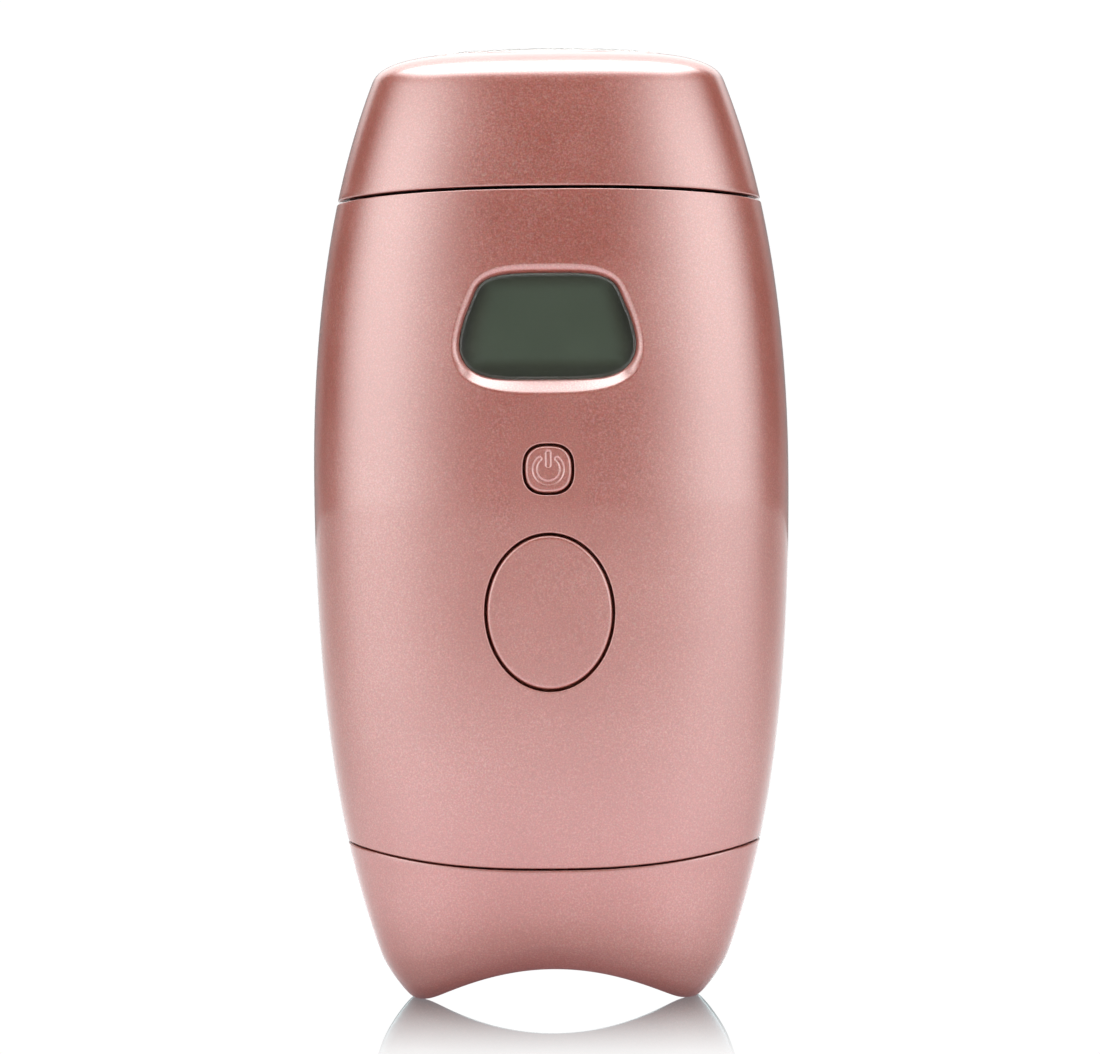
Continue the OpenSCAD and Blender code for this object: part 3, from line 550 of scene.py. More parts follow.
M = {
    "rose_paint": rose_paint("rose_paint"),
    "black_plastic": moulded("black_plastic", (0.022, 0.022, 0.024), 0.48, texture=0.5),
    "white_plastic": moulded("white_plastic", (0.74, 0.74, 0.71), 0.42, tint=0.04, texture=0.3),
    "window_clear": clear_glass("window_clear", (0.97, 0.985, 0.975), 0.02, 1.49),
    "lamp_glass": clear_glass("lamp_glass", (0.98, 0.99, 0.985), 0.02, 1.46),
    "lcd_grey": display_face("lcd_grey"),
    "foam_black": moulded("foam_black", (0.020, 0.022, 0.018), 0.9, grain=5000.0, texture=0.9, depth=0.00008),
    "board_green": moulded("board_green", (0.015, 0.085, 0.038), 0.35, tint=0.2, coat=0.4),
    "steel": moulded("steel", (0.56, 0.57, 0.59), 0.30, grain=900.0, metal=1.0, stretch=(1, 1, 9), tint=0.08),
    "brass": moulded("brass", (0.72, 0.50, 0.20), 0.26, grain=900.0, metal=1.0, stretch=(1, 1, 9), tint=0.08),
    "aluminium": moulded("aluminium", (0.86, 0.86, 0.87), 0.16, grain=700.0, metal=1.0, stretch=(9, 1, 1), tint=0.05,
                         texture=0.08, spread=0.05),
    "sleeve_dark": moulded("sleeve_dark", (0.020, 0.026, 0.045), 0.28, tint=0.15),
    "winding": moulded("winding", (0.42, 0.20, 0.05), 0.32, grain=1500.0, tint=0.2, stretch=(1, 1, 6)),
    "wire_red": moulded("wire_red", (0.42, 0.018, 0.014), 0.45, tint=0.12),
    "film_amber": moulded("film_amber", (0.48, 0.21, 0.03), 0.22, tint=0.12, coat=0.5),
    "fan_dark": moulded("fan_dark", (0.035, 0.035, 0.038), 0.45, texture=0.4),
}

# ------------------------------------------------------------------ edges and walls shared by the pieces
ARCS = [math.radians(a) for a in (22.5, 45, 67.5, 90)]


def edge_rings(loop, r, place, out, end, end_r=0.0):
    """Rings round an edge: from the surface, round the radius r, and down the wall to the depth end.
    loop is the wall's outline, out the side of it the material is on (1 outside, -1 inside)."""
    rings = []
    for a in ARCS:
        rings.append(place(offset_loop(loop, out * r * (1 - math.sin(a))), r * (1 - math.cos(a))))
    rings.append(place(loop, end))
    return rings


def shell(side, holes):
    """One of the two long shells. holes are (flat outline on the surface, rings from there to the inside, flat outline inside)."""
    s = Solid()
    s.fixed = {}

    def point(u, v):
        return shell_point(u, v, side)

    n = 150
    u = np.linspace(-SIDE, SIDE, n * 2)
    tops, bottoms = [], []
    for q in u:
        x, y = unit(np.interp(q, ARC, TH), 2.5)
        tops.append(head_seam(y) - 0.25)
        bottoms.append(tail_seam(y) + 0.15)
    inset = 0.05
    uu = u * (SIDE - inset) / SIDE
    left = np.linspace(tops[0], bottoms[0], 110)[1:-1]
    right = np.linspace(bottoms[-1], tops[-1], 110)[1:-1]
    loop = np.concatenate(
        [
            np.stack([uu, bottoms], 1),
            np.stack([np.full(108, uu[-1]), right], 1),
            np.stack([uu, tops], 1)[::-1],
            np.stack([np.full(108, uu[0]), left], 1),
        ]
    )
    r = 0.28

    def place(flat, depth):
        p = point(flat[:, 0], flat[:, 1])
        return p - depth * surf_normal(point, flat[:, 0], flat[:, 1]) * sign

    probe = surf_normal(point, np.array([0.0]), np.array([93.0]))[0]
    sign = 1.0 if probe[1] * side > 0 else -1.0
    base = offset_loop(loop, -r)
    ids = [s.add(point(base[:, 0], base[:, 1]), None)]
    s.surface_normals(ids[0], point, base)
    rings = s.stack(edge_rings(loop, r, place, -1, WALL), first=(ids[0], point(base[:, 0], base[:, 1])))
    outer_loops = [(base, ids[0])]
    inner_loops = [(loop, rings[-1])]
    for flat, wall_rings, flat_in in holes:
        start = point(flat[:, 0], flat[:, 1])
        i0 = s.add(start, None)
        s.surface_normals(i0, point, flat)
        got = s.stack(wall_rings, first=(i0, start))
        outer_loops.append((flat, i0))
        inner_loops.append((flat_in, got[-1]))
    s.fill(outer_loops, point, 1.25)

    def inner(a, b):
        return point(a, b) - WALL * surf_normal(point, a, b) * sign

    s.fill(inner_loops, inner, 2.2)
    return s


def front_flat(p):
    return np.stack([s_from_x(p[:, 0], p[:, 1]), p[:, 1]], 1)


def front_place(p, depth):
    return np.stack([p[:, 0], front_y(p[:, 0], p[:, 1]) + depth, p[:, 1]], 1)


def front_hole(loop, r):
    base = offset_loop(loop, r)
    return front_flat(base), edge_rings(loop, r, front_place, 1, WALL), front_flat(loop)


# ------------------------------------------------------------------ front shell with the rim that falls away to the display
GAP = 0.4
POWER_Z, FLASH_Z, DISPLAY_Z = 93.3, 68.5, 118.0
power_loop = superloop(4.48, 4.48, 2.64, 200, 0, POWER_Z)
flash_loop = superloop(11.35, 13.8, 2.0, 240, 0, FLASH_Z)

rim_n = 300


def trapezium(a, narrow, start, span, n_high, n_low, z, high, low, count):
    """Rounded trapezium, widest low down."""
    t = np.linspace(0, 2 * PI, 4000, endpoint=False)
    c, q = np.cos(t), np.sin(t)
    n = np.where(q >= 0, n_high, n_low)
    u, v = np.sign(c) * np.abs(c) ** (2 / n), np.sign(q) * np.abs(q) ** (2 / n)
    x = (a - narrow * smooth((v + start) / span)) * u
    return even(np.stack([x, z + np.where(v >= 0, high, low) * v], 1), count)


def eased(p):
    """A loop without hollows: its convex outline, evenly spaced and smoothed over a millimetre."""
    q = p[np.lexsort((p[:, 1], p[:, 0]))]
    out = []
    for run in (q, q[::-1]):
        line = []
        for c in run:
            while len(line) > 1:
                a, b = line[-1] - line[-2], c - line[-2]
                if a[0] * b[1] - a[1] * b[0] > 0:
                    break
                line.pop()
            line.append(c)
        out += line[:-1]
    out = even(np.array(out), len(p))
    for _ in range(2):
        out = np.mean([np.roll(out, k, 0) for k in range(-15, 16)], 0)
    return out


def around_display(p):
    return np.arctan2(p[:, 1] - 117.6, p[:, 0])


rim_o = trapezium(16.78, 1.68, 0.04, 0.75, 3.52, 2.76, 115.0, 14.08, 8.98, rim_n)
window_edge = eased(trapezium(15.674, 2.767, 0.598, 1.226, 3.926, 4.116, 120.0, 7.449, 11.144, 2400))
rim_up = offset_loop(rim_o, 0.01) - rim_o
rim_up /= np.linalg.norm(rim_up, axis=1, keepdims=True)
order = np.argsort(around_display(window_edge))
edge_a = around_display(window_edge)[order]
rim_i = np.stack([np.interp(around_display(rim_o), edge_a, window_edge[order, k], period=2 * PI) for k in (0, 1)], 1)
rim_down = smooth((-rim_up[:, 1] - 0.35) / 0.6)
# share of the way from the outer edge to the window, and the depth there over the top and sides, and under the window
rim_fall = [
    (0.05, 0.004, 0.007), (0.10, 0.016, 0.032), (0.15, 0.034, 0.079), (0.20, 0.055, 0.151), (0.26, 0.088, 0.261), (0.36, 0.148, 0.451),
    (0.46, 0.22, 0.641), (0.56, 0.31, 0.831), (0.66, 0.45, 1.021), (0.76, 0.64, 1.204), (0.84, 0.825, 1.351), (0.91, 1.005, 1.478),
    (0.96, 1.13, 1.565), (1.0, 1.235, 1.63),
]
rim_rings = []
for q, high, low in rim_fall:
    rim_rings.append(front_place(rim_o + (rim_i - rim_o) * q, high + (low - high) * rim_down))
rim_rings += [front_place(rim_i, 1.8), front_place(rim_i, WALL)]
front = shell(
    -1,
    [
        (front_flat(rim_o), rim_rings, front_flat(rim_i)),
        front_hole(power_loop, 0.22),
        front_hole(flash_loop, 0.26),
    ],
)
piece(front.build("front_casing", M["rose_paint"]), "handset", "rose_paint", "front_shell")


# ------------------------------------------------------------------ rear shell with the intake and side outlets
def rear_flat(p):
    return front_flat(p)


def rear_place(p, depth):
    return np.stack([p[:, 0], -front_y(p[:, 0], p[:, 1]) - depth, p[:, 1]], 1)


def rear_hole(loop, r):
    return rear_flat(offset_loop(loop, r)), edge_rings(loop, r, rear_place, 1, WALL), rear_flat(loop)


def side_hole(loop, r, sign):
    """loop is in (y, z) on the side of the rear shell."""

    def flat(p):
        q = np.stack([s_from_y(p[:, 0], p[:, 1], sign), p[:, 1]], 1)
        return q

    def place(p, depth):
        q = np.clip(np.abs(p[:, 0]) / half_d(p[:, 1]), 0, 1)
        x = half_w(p[:, 1]) * (1 - q**2.5) ** 0.4 - depth
        return np.stack([sign * x, p[:, 0], p[:, 1]], 1)

    return flat(offset_loop(loop, r)), edge_rings(loop, r, place, 1, WALL), flat(loop)


rear_holes = []
for i in range(-4, 5):
    half = math.sqrt(14.5**2 - (3.0 * i) ** 2)
    rear_holes.append(rear_hole(rrect(2 * half + 1.6, 1.6, 0.799, 2 * int(half * 2.2) + 28, 0, 106 + 3.2 * i), 0.3))
for sign in (-1, 1):
    for i in range(5):
        rear_holes.append(side_hole(rrect(6.6, 1.6, 0.799, 56, 9.0, 102 + 4 * i - 0.0), 0.3, sign))
rear = shell(1, rear_holes)
piece(rear.build("rear_casing", M["rose_paint"]), "handset", "rose_paint", "rear_shell")


# ------------------------------------------------------------------ lamp head
HEAD_N = 320


def head_shell_mesh():
    s = Solid()
    th = np.linspace(0, 2 * PI, 4000, endpoint=False)
    X, Y = unit(th, 2.5)
    loop = even(np.stack([33.0 * X, 18.0 * Y], 1), HEAD_N) / [33.0, 18.0]
    X, Y = loop[:, 0], loop[:, 1]

    def skin(z, e=1.0):
        return np.stack([e * half_w(z) * X, -e * half_d(z) * Y, z + 0 * X], 1)

    def crowned(z):
        sx = np.clip(1 - np.clip((z - 162.3) / 5.4, 0, 1) ** 2.6, 1e-6, 1) ** (1 / 3.85)
        sy = np.clip(1 - np.clip((z - 160.8) / 6.9, 0, 1) ** 2.6, 1e-6, 1) ** (1 / 2.6)
        return half_w(z) * sx * X, half_d(z) * sy * Y

    # height on the crown where the window opening cuts it
    lo, hi = np.full(HEAD_N, 158.0), np.full(HEAD_N, 167.7)
    for _ in range(50):
        mid = (lo + hi) / 2
        x, y = crowned(mid)
        out = (np.abs(x) / 19.5) ** 6 + (np.abs(y) / 6.9) ** 6 > 1
        lo, hi = np.where(out, mid, lo), np.where(out, hi, mid)
    top = lo
    # even steps along the crown from its foot to the opening
    steps = []
    for t in np.linspace(0, 1, 500):
        z = 158.2 + (top - 158.2) * (1 - (1 - t) ** 2.5)
        x, y = crowned(z)
        steps.append(np.stack([x, -y, z], 1))
    steps = np.array(steps)
    way = np.concatenate([np.zeros((1, HEAD_N)), np.cumsum(np.linalg.norm(np.diff(steps, axis=0), axis=2), axis=0)])
    crown_rings = np.zeros((64, HEAD_N, 3))
    for j in range(HEAD_N):
        at = np.linspace(0, way[-1, j], 64)
        for c in range(3):
            crown_rings[:, j, c] = np.interp(at, way[:, j], steps[:, j, c])

    bottom = head_seam(Y) + 0.25
    outer = [skin(bottom + (158.2 - bottom) * t) for t in np.linspace(0, 1, 17)][1:]
    outer += list(crown_rings[1:])
    nor = ring_normals(np.array(outer), False)
    if (nor[0, :, :2] * outer[0][:, :2]).sum() < 0:
        nor = -nor
    # bottom edge
    r = 0.28
    low = skin(bottom + r)
    side = np.stack([np.sign(X) * np.abs(X) ** 1.5 / half_w(142.0), -np.sign(Y) * np.abs(Y) ** 1.5 / half_d(142.0), 0 * X], 1)
    side /= np.linalg.norm(side, axis=1, keepdims=True)
    edge = []
    for a in ARCS[::-1]:
        edge.append(skin(bottom + r * (1 - math.sin(a))) - side * r * (1 - math.cos(a)))
    # inside, from the bottom edge up to the opening
    inner_low = skin(bottom) - side * WALL
    inner = []
    for p, n in zip(outer, nor):
        inner.append(p - WALL * n)
    hole = outer[-1]
    rim = []
    r2 = 0.45
    inward = np.stack([-np.sign(hole[:, 0]) * np.abs(hole[:, 0] / 19.5) ** 5 / 19.5,
                       -np.sign(hole[:, 1]) * np.abs(hole[:, 1] / 6.9) ** 5 / 6.9, 0 * X], 1)
    inward /= np.linalg.norm(inward, axis=1, keepdims=True)
    cut = crown_rings[-1]
    for a in ARCS:
        p = cut - inward * r2 * (1 - math.sin(a))
        p[:, 2] = cut[:, 2] - r2 * (1 - math.cos(a))
        rim.append(p)
    wall = cut.copy()
    wall[:, 2] -= WALL
    # the crown's last rings stop where the rounding of the opening starts
    keep = [p for p in outer if np.linalg.norm((p - cut)[:, :2], axis=1).min() > r2 + 0.05]
    start = cut - inward * r2
    ins = [q for q in inner[: len(keep)] if np.linalg.norm((q - cut)[:, :2], axis=1).min() > 0.4]
    ring = edge + [skin(bottom + r)] + [p for p in keep if (p[:, 2] - low[:, 2]).min() > 0.2]
    ring += [start] + rim + [wall] + ins[::-1] + [inner_low]
    s.stack(ring, closed=True)
    return s


piece(head_shell_mesh().build("head_casing", M["rose_paint"]), "lamp_head", "rose_paint", "head_shell")


# ------------------------------------------------------------------ tail cap
TAIL_N = 320
FOOT_X, FOOT_Y, FOOT_R = 24.6, 11.5, 8.5


def arch(x):
    rise = 5.62 * (1 - (x / 22.0) ** 2)
    return 0.5 * (rise + np.sqrt(rise**2 + 0.64)) - 0.1 * np.minimum(1, (x / FOOT_X) ** 2)


def tail_cap_mesh():
    s = Solid()
    s.fixed = {}
    th = np.linspace(0, 2 * PI, 4000, endpoint=False)
    X, Y = unit(th, 2.5)
    loop = even(np.stack([34.0 * X, 19.0 * Y], 1), TAIL_N) / [34.0, 19.0]
    ang = np.arctan2(loop[:, 0], loop[:, 1])
    F0 = np.abs(unit(ang, 2.5)[1]) ** 2.5

    def at(q, inset=0.0, lift=0.0):
        z = q - 4.2 * F0 * smooth((q - 14) / 13.9)
        k = np.sqrt(np.clip(1 - (1 - np.minimum(q, FOOT_R) / FOOT_R) ** 2, 0, 1)) if q < FOOT_R else 1.0
        a = FOOT_X + (half_w(z) - FOOT_X) * k - inset
        b = FOOT_Y + (half_d(z) - FOOT_Y) * k - inset
        x, y = unit(ang, plan_n(z))
        x, y = a * x, -b * y
        return np.stack([x, y, z + arch(x) * (1 - smooth(q / 15)) + lift], 1)

    top = 27.9 - 0.15
    r = 0.22
    qs = [top - r]
    qs += list(np.linspace(27.0, FOOT_R, 20)) + [FOOT_R * (1 - math.cos(t)) for t in np.linspace(PI / 2, 0, 22)[1:-1]]
    outer = [at(q) for q in qs] + [at(1e-4)]
    edge = []
    for a in ARCS[::-1]:
        edge.append(at(top - r * (1 - math.sin(a)), inset=r * (1 - math.cos(a))))
    inner_top = at(top, inset=WALL)
    ids = s.stack([inner_top] + edge + outer)
    flat_ring = ids[-1]
    foot = outer[-1]
    foot_flat = foot[:, :2]

    def under(x, y):
        return np.stack([x, y, arch(x)], -1)

    s.surface_normals(flat_ring, under, foot_flat)

    def inner_point(x, y):
        return np.stack([x, y, arch(x) + WALL], -1)

    in_rings = [at(q, inset=WALL, lift=0.0) for q in np.linspace(26.0, 9.5, 8)]
    in_rings += [at(q, inset=WALL, lift=WALL) for q in (5.0, 2.5, 0.8)]
    last = at(1e-4, inset=0.8)
    last[:, 2] = arch(last[:, 0]) + WALL
    in_ids = s.stack(in_rings + [last], first=(ids[0], inner_top))
    outer_loops, inner_loops = [(foot_flat, flat_ring)], [(last[:, :2], in_ids[-1])]

    def under_place(p, depth):
        return np.stack([p[:, 0], p[:, 1], arch(p[:, 0]) + depth], 1)

    hole = circle(4.25, 96)
    base = offset_loop(hole, 0.4)
    i0 = s.add(under(base[:, 0], base[:, 1]), None)
    s.surface_normals(i0, under, base)
    got = s.stack(edge_rings(hole, 0.4, under_place, 1, WALL), first=(i0, under(base[:, 0], base[:, 1])))
    outer_loops.append((base, i0))
    inner_loops.append((hole, got[-1]))
    for sx in (-14.0, 14.0):
        bore = circle(3.1, 80, sx, 5.0)
        base = offset_loop(bore, 0.3)
        i0 = s.add(under(base[:, 0], base[:, 1]), None)
        s.surface_normals(i0, under, base)
        rings = edge_rings(bore, 0.3, under_place, 1, 3.0)
        for z in (10.0, 14.0):
            rings.append(np.column_stack([bore, np.full(80, z)]))
        rings.append(np.column_stack([circle(1.75, 80, sx, 5.0), np.full(80, 14.0)]))
        rings.append(np.column_stack([circle(1.75, 80, sx, 5.0), np.full(80, 17.0)]))
        got = s.stack(rings, first=(i0, under(base[:, 0], base[:, 1])))
        outer_loops.append((base, i0))
        post = circle(4.3, 80, sx, 5.0)
        p0 = inner_point(post[:, 0], post[:, 1])
        j0 = s.add(p0, None)
        s.stack([np.column_stack([post, np.full(80, 12.0)]), np.column_stack([post, np.full(80, 17.0)])],
                first=(j0, p0), last=(got[-1], rings[-1]))
        inner_loops.append((post, j0))
    s.fill(outer_loops, under, 0.9)
    s.fill(inner_loops, inner_point, 1.6)
    return s


piece(tail_cap_mesh().build("tail_end", M["rose_paint"]), "handset", "rose_paint", "tail_cap")

# ------------------------------------------------------------------ display window
lens_loop = even(offset_loop(rim_i, -0.14), 288)


def lens_mesh():
    s = Solid()
    s.fixed = {}

    def inset(z):
        return 0.65 + 0.82 * (half_d(z) - half_d(127.0))

    def point(x, z):
        return np.stack([x, front_y(x, z) + inset(z), z], -1)

    def place(p, depth):
        return np.stack([p[:, 0], front_y(p[:, 0], p[:, 1]) + inset(p[:, 1]) + depth, p[:, 1]], 1)

    base = offset_loop(lens_loop, -0.40)
    i0 = s.add(point(base[:, 0], base[:, 1]), None)
    s.surface_normals(i0, point, base)
    rings = [place(offset_loop(lens_loop, -d), h) for d, h in ((0.35, 0.010), (0.05, 0.22), (0.0, 0.29))]
    low = np.column_stack([lens_loop[:, 0], np.full(len(lens_loop), -18.4), lens_loop[:, 1]])
    got = s.stack(rings + [low], first=(i0, point(base[:, 0], base[:, 1])))
    s.fill([(base, i0)], point, 1.2)
    s.fill([(lens_loop, got[-1])], lambda x, z: np.stack([x, 0 * x - 18.4, z], -1), 2.0)
    return s


piece(lens_mesh().build("display_lens", M["window_clear"]), "handset", "window_clear", "display_window")


def seal_mesh():
    s = Solid()
    rings = []
    for d, y in ((-0.02, -18.38), (-0.1, -18.4), (-0.22, -18.4), (-0.3, -18.3), (-0.3, -17.88), (-0.22, -17.8), (-0.02, -17.8)):
        p = offset_loop(lens_loop, d)
        rings.append(np.column_stack([p[:, 0], np.full(len(p), y), p[:, 1]]))
    s.stack(rings, closed=True)
    return s


piece(seal_mesh().build("display_seal", M["foam_black"]), "handset", "foam_black", "display_gasket")


# ------------------------------------------------------------------ power button with its sunk symbol
def symbol(x, z):
    """Signed distance to the symbol, negative inside."""
    r, a = np.hypot(x, z), np.abs(np.arctan2(x, z))
    open_a = math.radians(40)
    ex, ez = 2.36 * math.sin(open_a), 2.36 * math.cos(open_a)
    ring = np.where(a > open_a, np.abs(r - 2.36), np.hypot(np.abs(x) - ex, z - ez)) - 0.53
    qx, qz = np.abs(x) - (0.59 - 0.56), np.abs(z - 1.79) - (1.63 - 0.56)
    bar = np.hypot(np.maximum(qx, 0), np.maximum(qz, 0)) + np.minimum(np.maximum(qx, qz), 0) - 0.56
    return np.minimum(ring, bar)


def power_button_mesh():
    s = Solid()
    n = 336
    cap_loop = superloop(4.43 - GAP, 4.43 - GAP, 2.64, n, 0, POWER_Z)
    rel = cap_loop - [0, POWER_Z]
    ang = np.arctan2(rel[:, 1], rel[:, 0])

    def top(p, depth=0.0):
        d = symbol(p[:, 0], p[:, 1] - POWER_Z)
        y = front_y(p[:, 0], p[:, 1]) + 0.15 * smooth((-d + 0.02) / 0.36) + depth
        return np.stack([p[:, 0], y, p[:, 1]], 1)

    r = 0.5
    rings = []
    for a in ARCS[::-1]:
        rings.append(front_place(offset_loop(cap_loop, -r * (1 - math.sin(a))), r * (1 - math.cos(a))))
    edge = offset_loop(cap_loop, -r)
    rings.append(front_place(edge, 0.0))
    ring_c = np.stack([3.25 * np.cos(ang), 3.25 * np.sin(ang) + POWER_Z], 1)
    for t in np.linspace(0, 1, 9)[1:]:
        rings.append(top(edge + (ring_c - edge) * t))
    for k in np.linspace(3.25, 0.03, 86)[1:]:
        rings.append(top(np.stack([k * np.cos(ang), k * np.sin(ang) + POWER_Z], 1)))
    flange = offset_loop(cap_loop, GAP + 0.95)

    def flat(p, y):
        return np.column_stack([p[:, 0], np.full(len(p), y), p[:, 1]])

    post = np.stack([1.5 * np.cos(ang), 1.5 * np.sin(ang) + POWER_Z], 1)
    low = [flat(post, -18.2), flat(post, -19.2), flat(flange, -19.2), flat(flange, -20.3), flat(cap_loop, -20.3)]
    ids = s.stack(low + rings)
    s.cap(ids[-1], [0, float(front_y(0.0, POWER_Z)), POWER_Z])
    s.cap(ids[0], [0, -18.2, POWER_Z])
    return s


piece(power_button_mesh().build("power_key_cap", M["rose_paint"]), "power_key", "rose_paint", "power_button")


# ------------------------------------------------------------------ flash button
def flash_button_mesh():
    s = Solid()
    n = 300
    cap_loop = offset_loop(superloop(11.35, 13.8, 2.0, n, 0, FLASH_Z), -GAP - 0.09)
    r = 0.5
    rings = []
    for a in ARCS[::-1]:
        rings.append(front_place(offset_loop(cap_loop, -r * (1 - math.sin(a))), r * (1 - math.cos(a))))
    edge = offset_loop(cap_loop, -r)
    rings.append(front_place(edge, 0.0))
    centre = np.array([0, FLASH_Z])

    def ripple(p):
        x, z = p[:, 0], p[:, 1]
        return 0.0035 * (np.sin(1.9 * x + 0.7 * np.sin(1.3 * z)) * np.sin(2.3 * z + 0.9 * np.sin(1.1 * x))
                         + 0.6 * np.sin(3.1 * x - 1.7 * z))

    for k in np.linspace(1, 0.004, 62)[1:]:
        p = centre + k * (edge - centre)
        q = front_place(p, 0.0)
        q[:, 1] += ripple(p) * min(1.0, (1 - k) * 12)
        rings.append(q)
    flange = offset_loop(cap_loop, GAP + 1.19)

    def flat(p, y):
        return np.column_stack([p[:, 0], np.full(len(p), y), p[:, 1]])

    ang = np.arctan2(cap_loop[:, 1] - FLASH_Z, cap_loop[:, 0])
    post = np.stack([2.0 * np.cos(ang), 2.0 * np.sin(ang) + FLASH_Z], 1)
    low = [flat(post, -18.2), flat(post, -18.6), flat(flange, -18.6), flat(flange, -19.5), flat(cap_loop, -19.5)]
    ids = s.stack(low + rings)
    s.cap(ids[-1], [0, float(front_y(0.0, FLASH_Z)), FLASH_Z])
    s.cap(ids[0], [0, -18.2, FLASH_Z])
    return s


M["rose_peel"] = rose_paint("rose_peel", 0.10)
piece(flash_button_mesh().build("flash_key_cap", M["rose_peel"]), "flash_key", "rose_paint", "flash_button")


# ------------------------------------------------------------------ lamp window, its frame and the skin sensors
def crown_z(x, apex):
    return apex - 226.0 + np.sqrt(226.0**2 - x**2)


def window_frame_mesh():
    s = Solid()
    s.fixed = {}
    apex = 167.55

    def point(x, y):
        return np.stack([x, y, crown_z(x, apex)], -1)

    def place(p, depth):
        return np.column_stack([p, crown_z(p[:, 0], apex) - depth])

    def flat(p, z):
        return np.column_stack([p, np.full(len(p), z)])

    outer = rrect(38.2, 12.9, 4.2, 220)
    base = offset_loop(outer, -0.3)
    i0 = s.add(point(base[:, 0], base[:, 1]), None)
    s.surface_normals(i0, point, base)
    got = s.stack(edge_rings(outer, 0.3, place, -1, 1.0) + [flat(outer, 162.8)], first=(i0, point(base[:, 0], base[:, 1])))
    tops, lows = [(base, i0)], [(outer, got[-1])]
    hole = rrect(32.6, 10.2, 1.6, 200)
    step = rrect(30.0, 8.4, 1.2, 200)
    base = offset_loop(hole, 0.07)
    i0 = s.add(point(base[:, 0], base[:, 1]), None)
    s.surface_normals(i0, point, base)
    got = s.stack(edge_rings(hole, 0.07, place, 1, 1.0) + [flat(hole, 164.4), flat(step, 164.4), flat(step, 162.8)],
                  first=(i0, point(base[:, 0], base[:, 1])))
    tops.append((base, i0))
    lows.append((step, got[-1]))
    for sx in (-17.35, 17.35):
        slot = rrect(1.7, 6.4, 0.8, 64, sx, 0)
        base = offset_loop(slot, 0.07)
        i0 = s.add(point(base[:, 0], base[:, 1]), None)
        s.surface_normals(i0, point, base)
        got = s.stack(edge_rings(slot, 0.07, place, 1, 1.0) + [flat(slot, 162.8)], first=(i0, point(base[:, 0], base[:, 1])))
        tops.append((base, i0))
        lows.append((slot, got[-1]))
    s.fill(tops, point, 0.9)
    s.fill(lows, lambda x, y: np.stack([x, y, 0 * x + 162.8], -1), 1.5)
    return s


def window_glass_mesh():
    s = Solid()
    s.fixed = {}
    apex = 168.1

    def point(x, y):
        return np.stack([x, y, crown_z(x, apex)], -1)

    def place(p, depth):
        return np.column_stack([p, crown_z(p[:, 0], apex) - depth])

    outer = rrect(32.4, 10.0, 1.5, 220)
    base = offset_loop(outer, -0.15)
    i0 = s.add(point(base[:, 0], base[:, 1]), None)
    s.surface_normals(i0, point, base)
    low = rrect(32.4, 10.0, 1.5, 220)
    rings = edge_rings(outer, 0.15, place, -1, 1.2)
    rings.append(np.column_stack([low, np.full(220, 164.65)]))
    foot = offset_loop(low, -0.15)
    rings.append(np.column_stack([foot, np.full(220, 164.5)]))
    got = s.stack(rings, first=(i0, point(base[:, 0], base[:, 1])))
    s.fill([(base, i0)], point, 1.0)
    s.fill([(foot, got[-1])], lambda x, y: np.stack([x, y, 0 * x + 164.5], -1), 1.6)
    return s


def sensor_mesh(sx):
    s = Solid()
    outer = rrect(1.4, 6.1, 0.65, 96, sx, 0)
    centre = np.array([sx, 0.0])
    rings = []
    for d, z in ((0.0, 162.85), (0.0, 165.3), (0.0, 167.45), (0.03, 167.65), (0.1, 167.82), (0.2, 167.94), (0.33, 168.01), (0.47, 168.04)):
        p = offset_loop(outer, -d) if d else outer
        rings.append(np.column_stack([p, np.full(96, z)]))
    inner = offset_loop(outer, -0.47)
    for k in (0.6, 0.2):
        p = np.column_stack([centre[0] + (inner[:, 0] - centre[0]) * k, inner[:, 1] * (0.9 + 0.1 * k)])
        rings.append(np.column_stack([p, np.full(96, 168.05)]))
    ids = s.stack(rings)
    s.cap(ids[-1], [sx, 0, 168.05])
    s.cap(ids[0], [sx, 0, 162.85])
    return s


piece(window_frame_mesh().build("window_surround", M["white_plastic"]), "lamp_head", "white_plastic", "window_frame")
piece(window_glass_mesh().build("lamp_window", M["lamp_glass"]), "lamp_head", "lamp_glass", "window_glass")
piece(sensor_mesh(-17.35).build("left_skin_contact", M["white_plastic"]), "left_sensor", "white_plastic", "skin_sensor_left")
piece(sensor_mesh(17.35).build("right_skin_contact", M["white_plastic"]), "right_sensor", "white_plastic", "skin_sensor_right")


# ------------------------------------------------------------------ the rest of the assembly keeps its own shape
slots = {p["node"]: p["material_slot"] for p in frame["record"]["subparts"]}
for name, obj in nodes.items():
    obj.data.materials.clear()
    obj.data.materials.append(M[slots[name]])

# ------------------------------------------------------------------ studio
CAM_D, CAM_Z, CAM_AZ, CAM_ROLL, CAM_X = 0.800, 0.0833, math.radians(1.25), math.radians(-0.48), -0.0003


